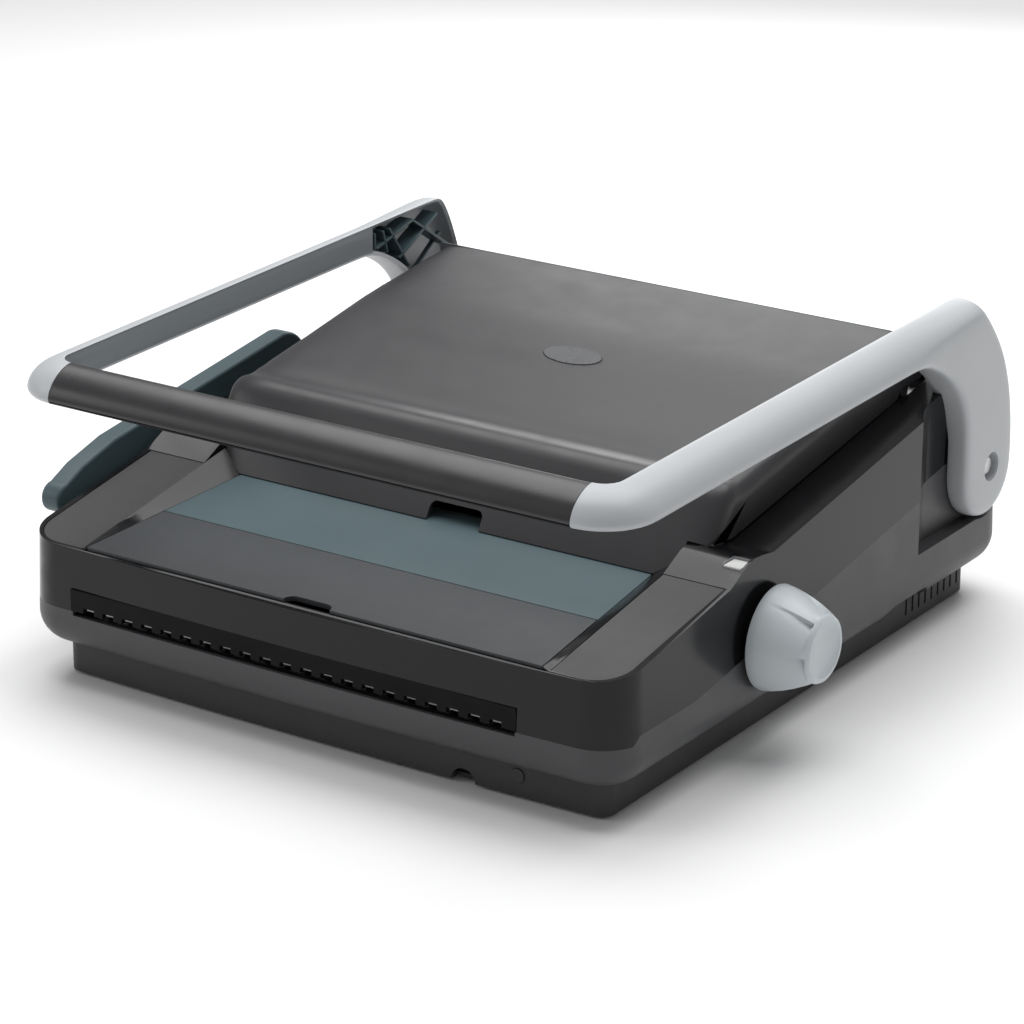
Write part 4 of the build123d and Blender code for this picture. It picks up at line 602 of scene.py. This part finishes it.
def mirrored(piece, name, *nodes):
    """The left-hand copy of a right-hand piece."""
    twin = bpy.data.objects.new(name, piece.data.copy())
    bpy.context.scene.collection.objects.link(twin)
    twin.data.transform(Matrix.Scale(-1, 4, (1, 0, 0)))
    twin.data.flip_normals()
    if nodes:
        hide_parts(*nodes)
    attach(twin, piece["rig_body"] if "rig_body" in piece else "handle")
    return twin


skin = arm_skin()
outside = max(skin.faces, key=lambda face: face.calc_center_median().x)
if outside.normal.x < 0:
    bmesh.ops.reverse_faces(skin, faces=skin.faces)
right_arm = place(skin, "right_arm_skin", arm_silver, "handle", "arm_silver", "right_arm")
only(right_arm)
smooth = right_arm.modifiers.new("smooth", "SUBSURF")
smooth.levels = 2
smooth.render_levels = 2
bpy.ops.object.modifier_apply(modifier="smooth")
thicken(right_arm, ARM_THICK)
bpy.ops.mesh.primitive_cylinder_add(
    vertices=64,
    radius=COUNTERBORE_RADIUS * MM,
    depth=14 * MM,
    location=(0.2125, PIVOT[0] * MM, PIVOT[1] * MM),
    rotation=(0, math.pi / 2, 0),
)
carve(right_arm, bpy.context.object)
even_shading(right_arm, 38)
left_arm = mirrored(right_arm, "left_arm_skin", "left_arm")

hub = place(
    lathe([(199.0, 8.3), (199.0, 13.0), (210.5, 13.0), (211.7, 9.9), (211.9, 9.4), (211.4, 9.0), (206.5, 9.0),
           (206.5, 2.8), (204.6, 2.8), (204.6, 8.3)], *PIVOT),
    "right_arm_hub", arm_silver, "handle", "arm_silver")
mirrored(hub, "left_arm_hub")

ribs = bmesh.new()
# each rib's two ends in the side view, as (y, z)
RIB_LINES = [
    ((108, 182), (108, 193)), ((110, 182), (150, 192)), ((122, 177), (117, 192.5)),
    ((146, 162), (124, 192.5)), ((135, 170), (178, 190)), ((150, 192), (190, 166)),
    ((157, 148), (194, 172)), ((163, 132), (205, 152)), ((166, 146), (213, 132)), ((166, 117), (214, 128)),
]
RIB_THICK = 1.8
RIB_OUT = 0.2025
for start, end in RIB_LINES:
    middle = Vector((0.1975, (start[0] + end[0]) / 2 * MM, (start[1] + end[1]) / 2 * MM))
    inner = 0.1906 if min(start[1], end[1]) > 160 else 0.1992
    angle = math.atan2(end[1] - start[1], end[0] - start[0])
    middle.x = (inner + RIB_OUT) / 2
    shape = (Matrix.Translation(middle) @ Matrix.Rotation(angle, 4, "X")
             @ Matrix.Diagonal((RIB_OUT - inner, math.dist(start, end) * MM, RIB_THICK * MM, 1)))
    bmesh.ops.create_cube(ribs, size=1, matrix=shape)
right_ribs = place(ribs, "right_arm_ribs", slate, "handle", "slate_panel")
soften(right_ribs, 0.4)
mirrored(right_ribs, "left_arm_ribs")

# the grey cover closes the arm's inner side, round the corner to the bar
COVER_IN = 0.4
cover = bmesh.new()
path = []
for step in range(9):
    turn = math.radians(90 * step / 8)
    reach = CORNER_INSIDE + COVER_IN
    path.append((CORNER[0] + reach * math.sin(turn), CORNER[1] - reach * math.cos(turn)))
path += [(ARM_IN + COVER_IN, y) for y in (-150, -80, 0, 60, 105)]
columns = []
for x, y in path:
    top = arm_height(max(y, CORNER[1]))
    heights = (top - 1.0, top - 7, top - 13, top - 19.0)
    columns.append([cover.verts.new((x * MM, y * MM, z * MM)) for z in heights])
for low, high in zip(columns, columns[1:]):
    for i in range(3):
        cover.faces.new((low[i], low[i + 1], high[i + 1], high[i]))
bmesh.ops.recalc_face_normals(cover, faces=cover.faces)
if sum(face.normal.x for face in cover.faces) > 0:
    bmesh.ops.reverse_faces(cover, faces=cover.faces)
arm_lining = moulded("arm_lining", tint(150, 156, 160), 0.42, 0.35, 0.15, 0.04)
right_cover = place(cover, "right_arm_inner_cover", arm_lining, "handle", "slate_panel", "right_arm_cover")
thicken(right_cover, 1.8)
soften(right_cover, 0.3)
left_cover = mirrored(right_cover, "left_arm_inner_cover", "left_arm_cover")

# ---- Handle bar ---------------------------------------------------------------------------------
# A painted shell over a steel tube, plugged in to the arms' corners. A darker soft underside is clipped in to
# it, so a thin line runs along the bar's lower edge and dark joints show at its ends.

BAR_HALF = 178.2
BAR_SPLIT = 177.4
BAR_TALL = 20.6
# the bar is a little smaller than the corners that take it
BAR_SHRINK = 0.985
BAR_SUNK = 0.2
JOINT_GAP = 0.5
bar = bmesh.new()
ends = []
bar_top = arm_height(CORNER[1])
bar_rear = CORNER[1] - CORNER_INSIDE
for x in (-BAR_HALF, BAR_HALF):
    ends.append([
        bar.verts.new((
            x * MM,
            (bar_rear - (out - ARM_IN) * BAR_SHRINK - BAR_SUNK) * MM,
            (z - BAR_SUNK) * MM,
        ))
        for out, _, z in along_section((0, bar_top), (0, bar_top - BAR_TALL), ARM_IN, 0)
    ])
for i in range(len(ends[0])):
    j = (i + 1) % len(ends[0])
    bar.faces.new((ends[0][i], ends[0][j], ends[1][j], ends[1][i]))
bar.faces.new(ends[0])
bar.faces.new(ends[1])
bmesh.ops.recalc_face_normals(bar, faces=bar.faces)


def cut_bar(height, keep_above):
    """The part of the bar above or below a height, closed where it is cut."""
    part = bar.copy()
    cut = bmesh.ops.bisect_plane(
        part, geom=part.verts[:] + part.edges[:] + part.faces[:], plane_co=(0, 0, height * MM),
        plane_no=(0, 0, 1), clear_outer=not keep_above, clear_inner=keep_above)
    rim = [item for item in cut["geom_cut"] if isinstance(item, bmesh.types.BMEdge)]
    bmesh.ops.edgeloop_fill(part, edges=rim)
    bmesh.ops.recalc_face_normals(part, faces=part.faces)
    return part


bar_gunmetal = moulded("bar_gunmetal", tint(52, 51, 53), 0.3, 0.35, 0.1, 0.05, 0.5, 0.2)
bar_upper = place(cut_bar(BAR_SPLIT, True), "bar_upper", bar_gunmetal, "handle", "bar_gunmetal", "bar_shell")
soften(bar_upper, 0.35, 40)
grip_dark = moulded("grip_dark", tint(20, 20, 22), 0.5, 0.5, 0.25, 0.08, 0.2)
bar_lower = place(
    cut_bar(BAR_SPLIT - JOINT_GAP, False), "bar_lower", grip_dark, "handle", "bar_dark", "bar_underside"
)
soften(bar_lower, 0.25, 40)
bar.free()
core_low, core_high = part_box("bar_core")
CORE_HALF = 179.5
CORE_RADIUS = 5
bpy.ops.mesh.primitive_cylinder_add(
    vertices=48,
    radius=CORE_RADIUS * MM,
    depth=2 * CORE_HALF * MM,
    location=(0, (core_low[1] + core_high[1]) / 2, (core_low[2] + core_high[2]) / 2),
    rotation=(0, math.pi / 2, 0),
)
core = bpy.context.object
core.name = "bar_tube"
bpy.ops.object.transform_apply(location=True, rotation=True, scale=True)
finish_with(core, frame_steel)
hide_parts("bar_core")
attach(core, "handle")

# ---- Studio -------------------------------------------------------------------------------------
# A pale table, a large soft light overhead and a weaker one from the front left.

bpy.ops.mesh.primitive_plane_add(size=30, location=(0, 0, -0.0005))
table = bpy.context.object
table.name = "studio_floor"
floor_paint = bpy.data.materials.new("floor_paint")
floor_paint.use_nodes = True
floor_shader = floor_paint.node_tree.nodes["Principled BSDF"]
floor_shader.inputs["Base Color"].default_value = (0.93, 0.93, 0.93, 1)
floor_shader.inputs["Roughness"].default_value = 0.8
table.data.materials.append(floor_paint)
world = bpy.data.worlds.new("studio")
world.use_nodes = True
world.node_tree.nodes["Background"].inputs["Color"].default_value = (1, 1, 1, 1)
world.node_tree.nodes["Background"].inputs["Strength"].default_value = 0.3
bpy.context.scene.world = world


def softbox(name, location, target, size, power):
    """A rectangular area light that faces the machine."""
    lamp = bpy.data.lights.new(name, "AREA")
    lamp.shape = "RECTANGLE"
    lamp.size = size[0]
    lamp.size_y = size[1]
    lamp.energy = power
    holder = bpy.data.objects.new(name, lamp)
    bpy.context.scene.collection.objects.link(holder)
    holder.location = location
    aim = Vector(target) - Vector(location)
    holder.rotation_euler = aim.to_track_quat("-Z", "Y").to_euler()


softbox("overhead", (-0.2, 0.4, 1.9), (0, 0, 0.1), (2.4, 2.0), 52)
softbox("behind", (-0.55, 1.4, 0.62), (0.1, 0.1, 0.15), (0.8, 0.6), 4)
softbox("front_left", (-1.7, -1.3, 0.9), (0, 0, 0.1), (0.8, 1.0), 7)

camera = bpy.data.objects.new("camera", bpy.data.cameras.new("camera"))
bpy.context.scene.collection.objects.link(camera)
camera.data.sensor_width = 36
camera.data.lens = 139.21
camera.data.clip_end = 50
right = Vector((0.83135528, 0.55572543, 0.00419999))
up = Vector((-0.19778363, 0.28880123, 0.93673662))
back = Vector((0.5193554, -0.77959162, 0.35000982))
turn = Matrix((right, up, back)).transposed().to_4x4()
camera.matrix_world = Matrix.Translation((1.236159, -1.874144, 0.914807)) @ turn
bpy.context.scene.camera = camera
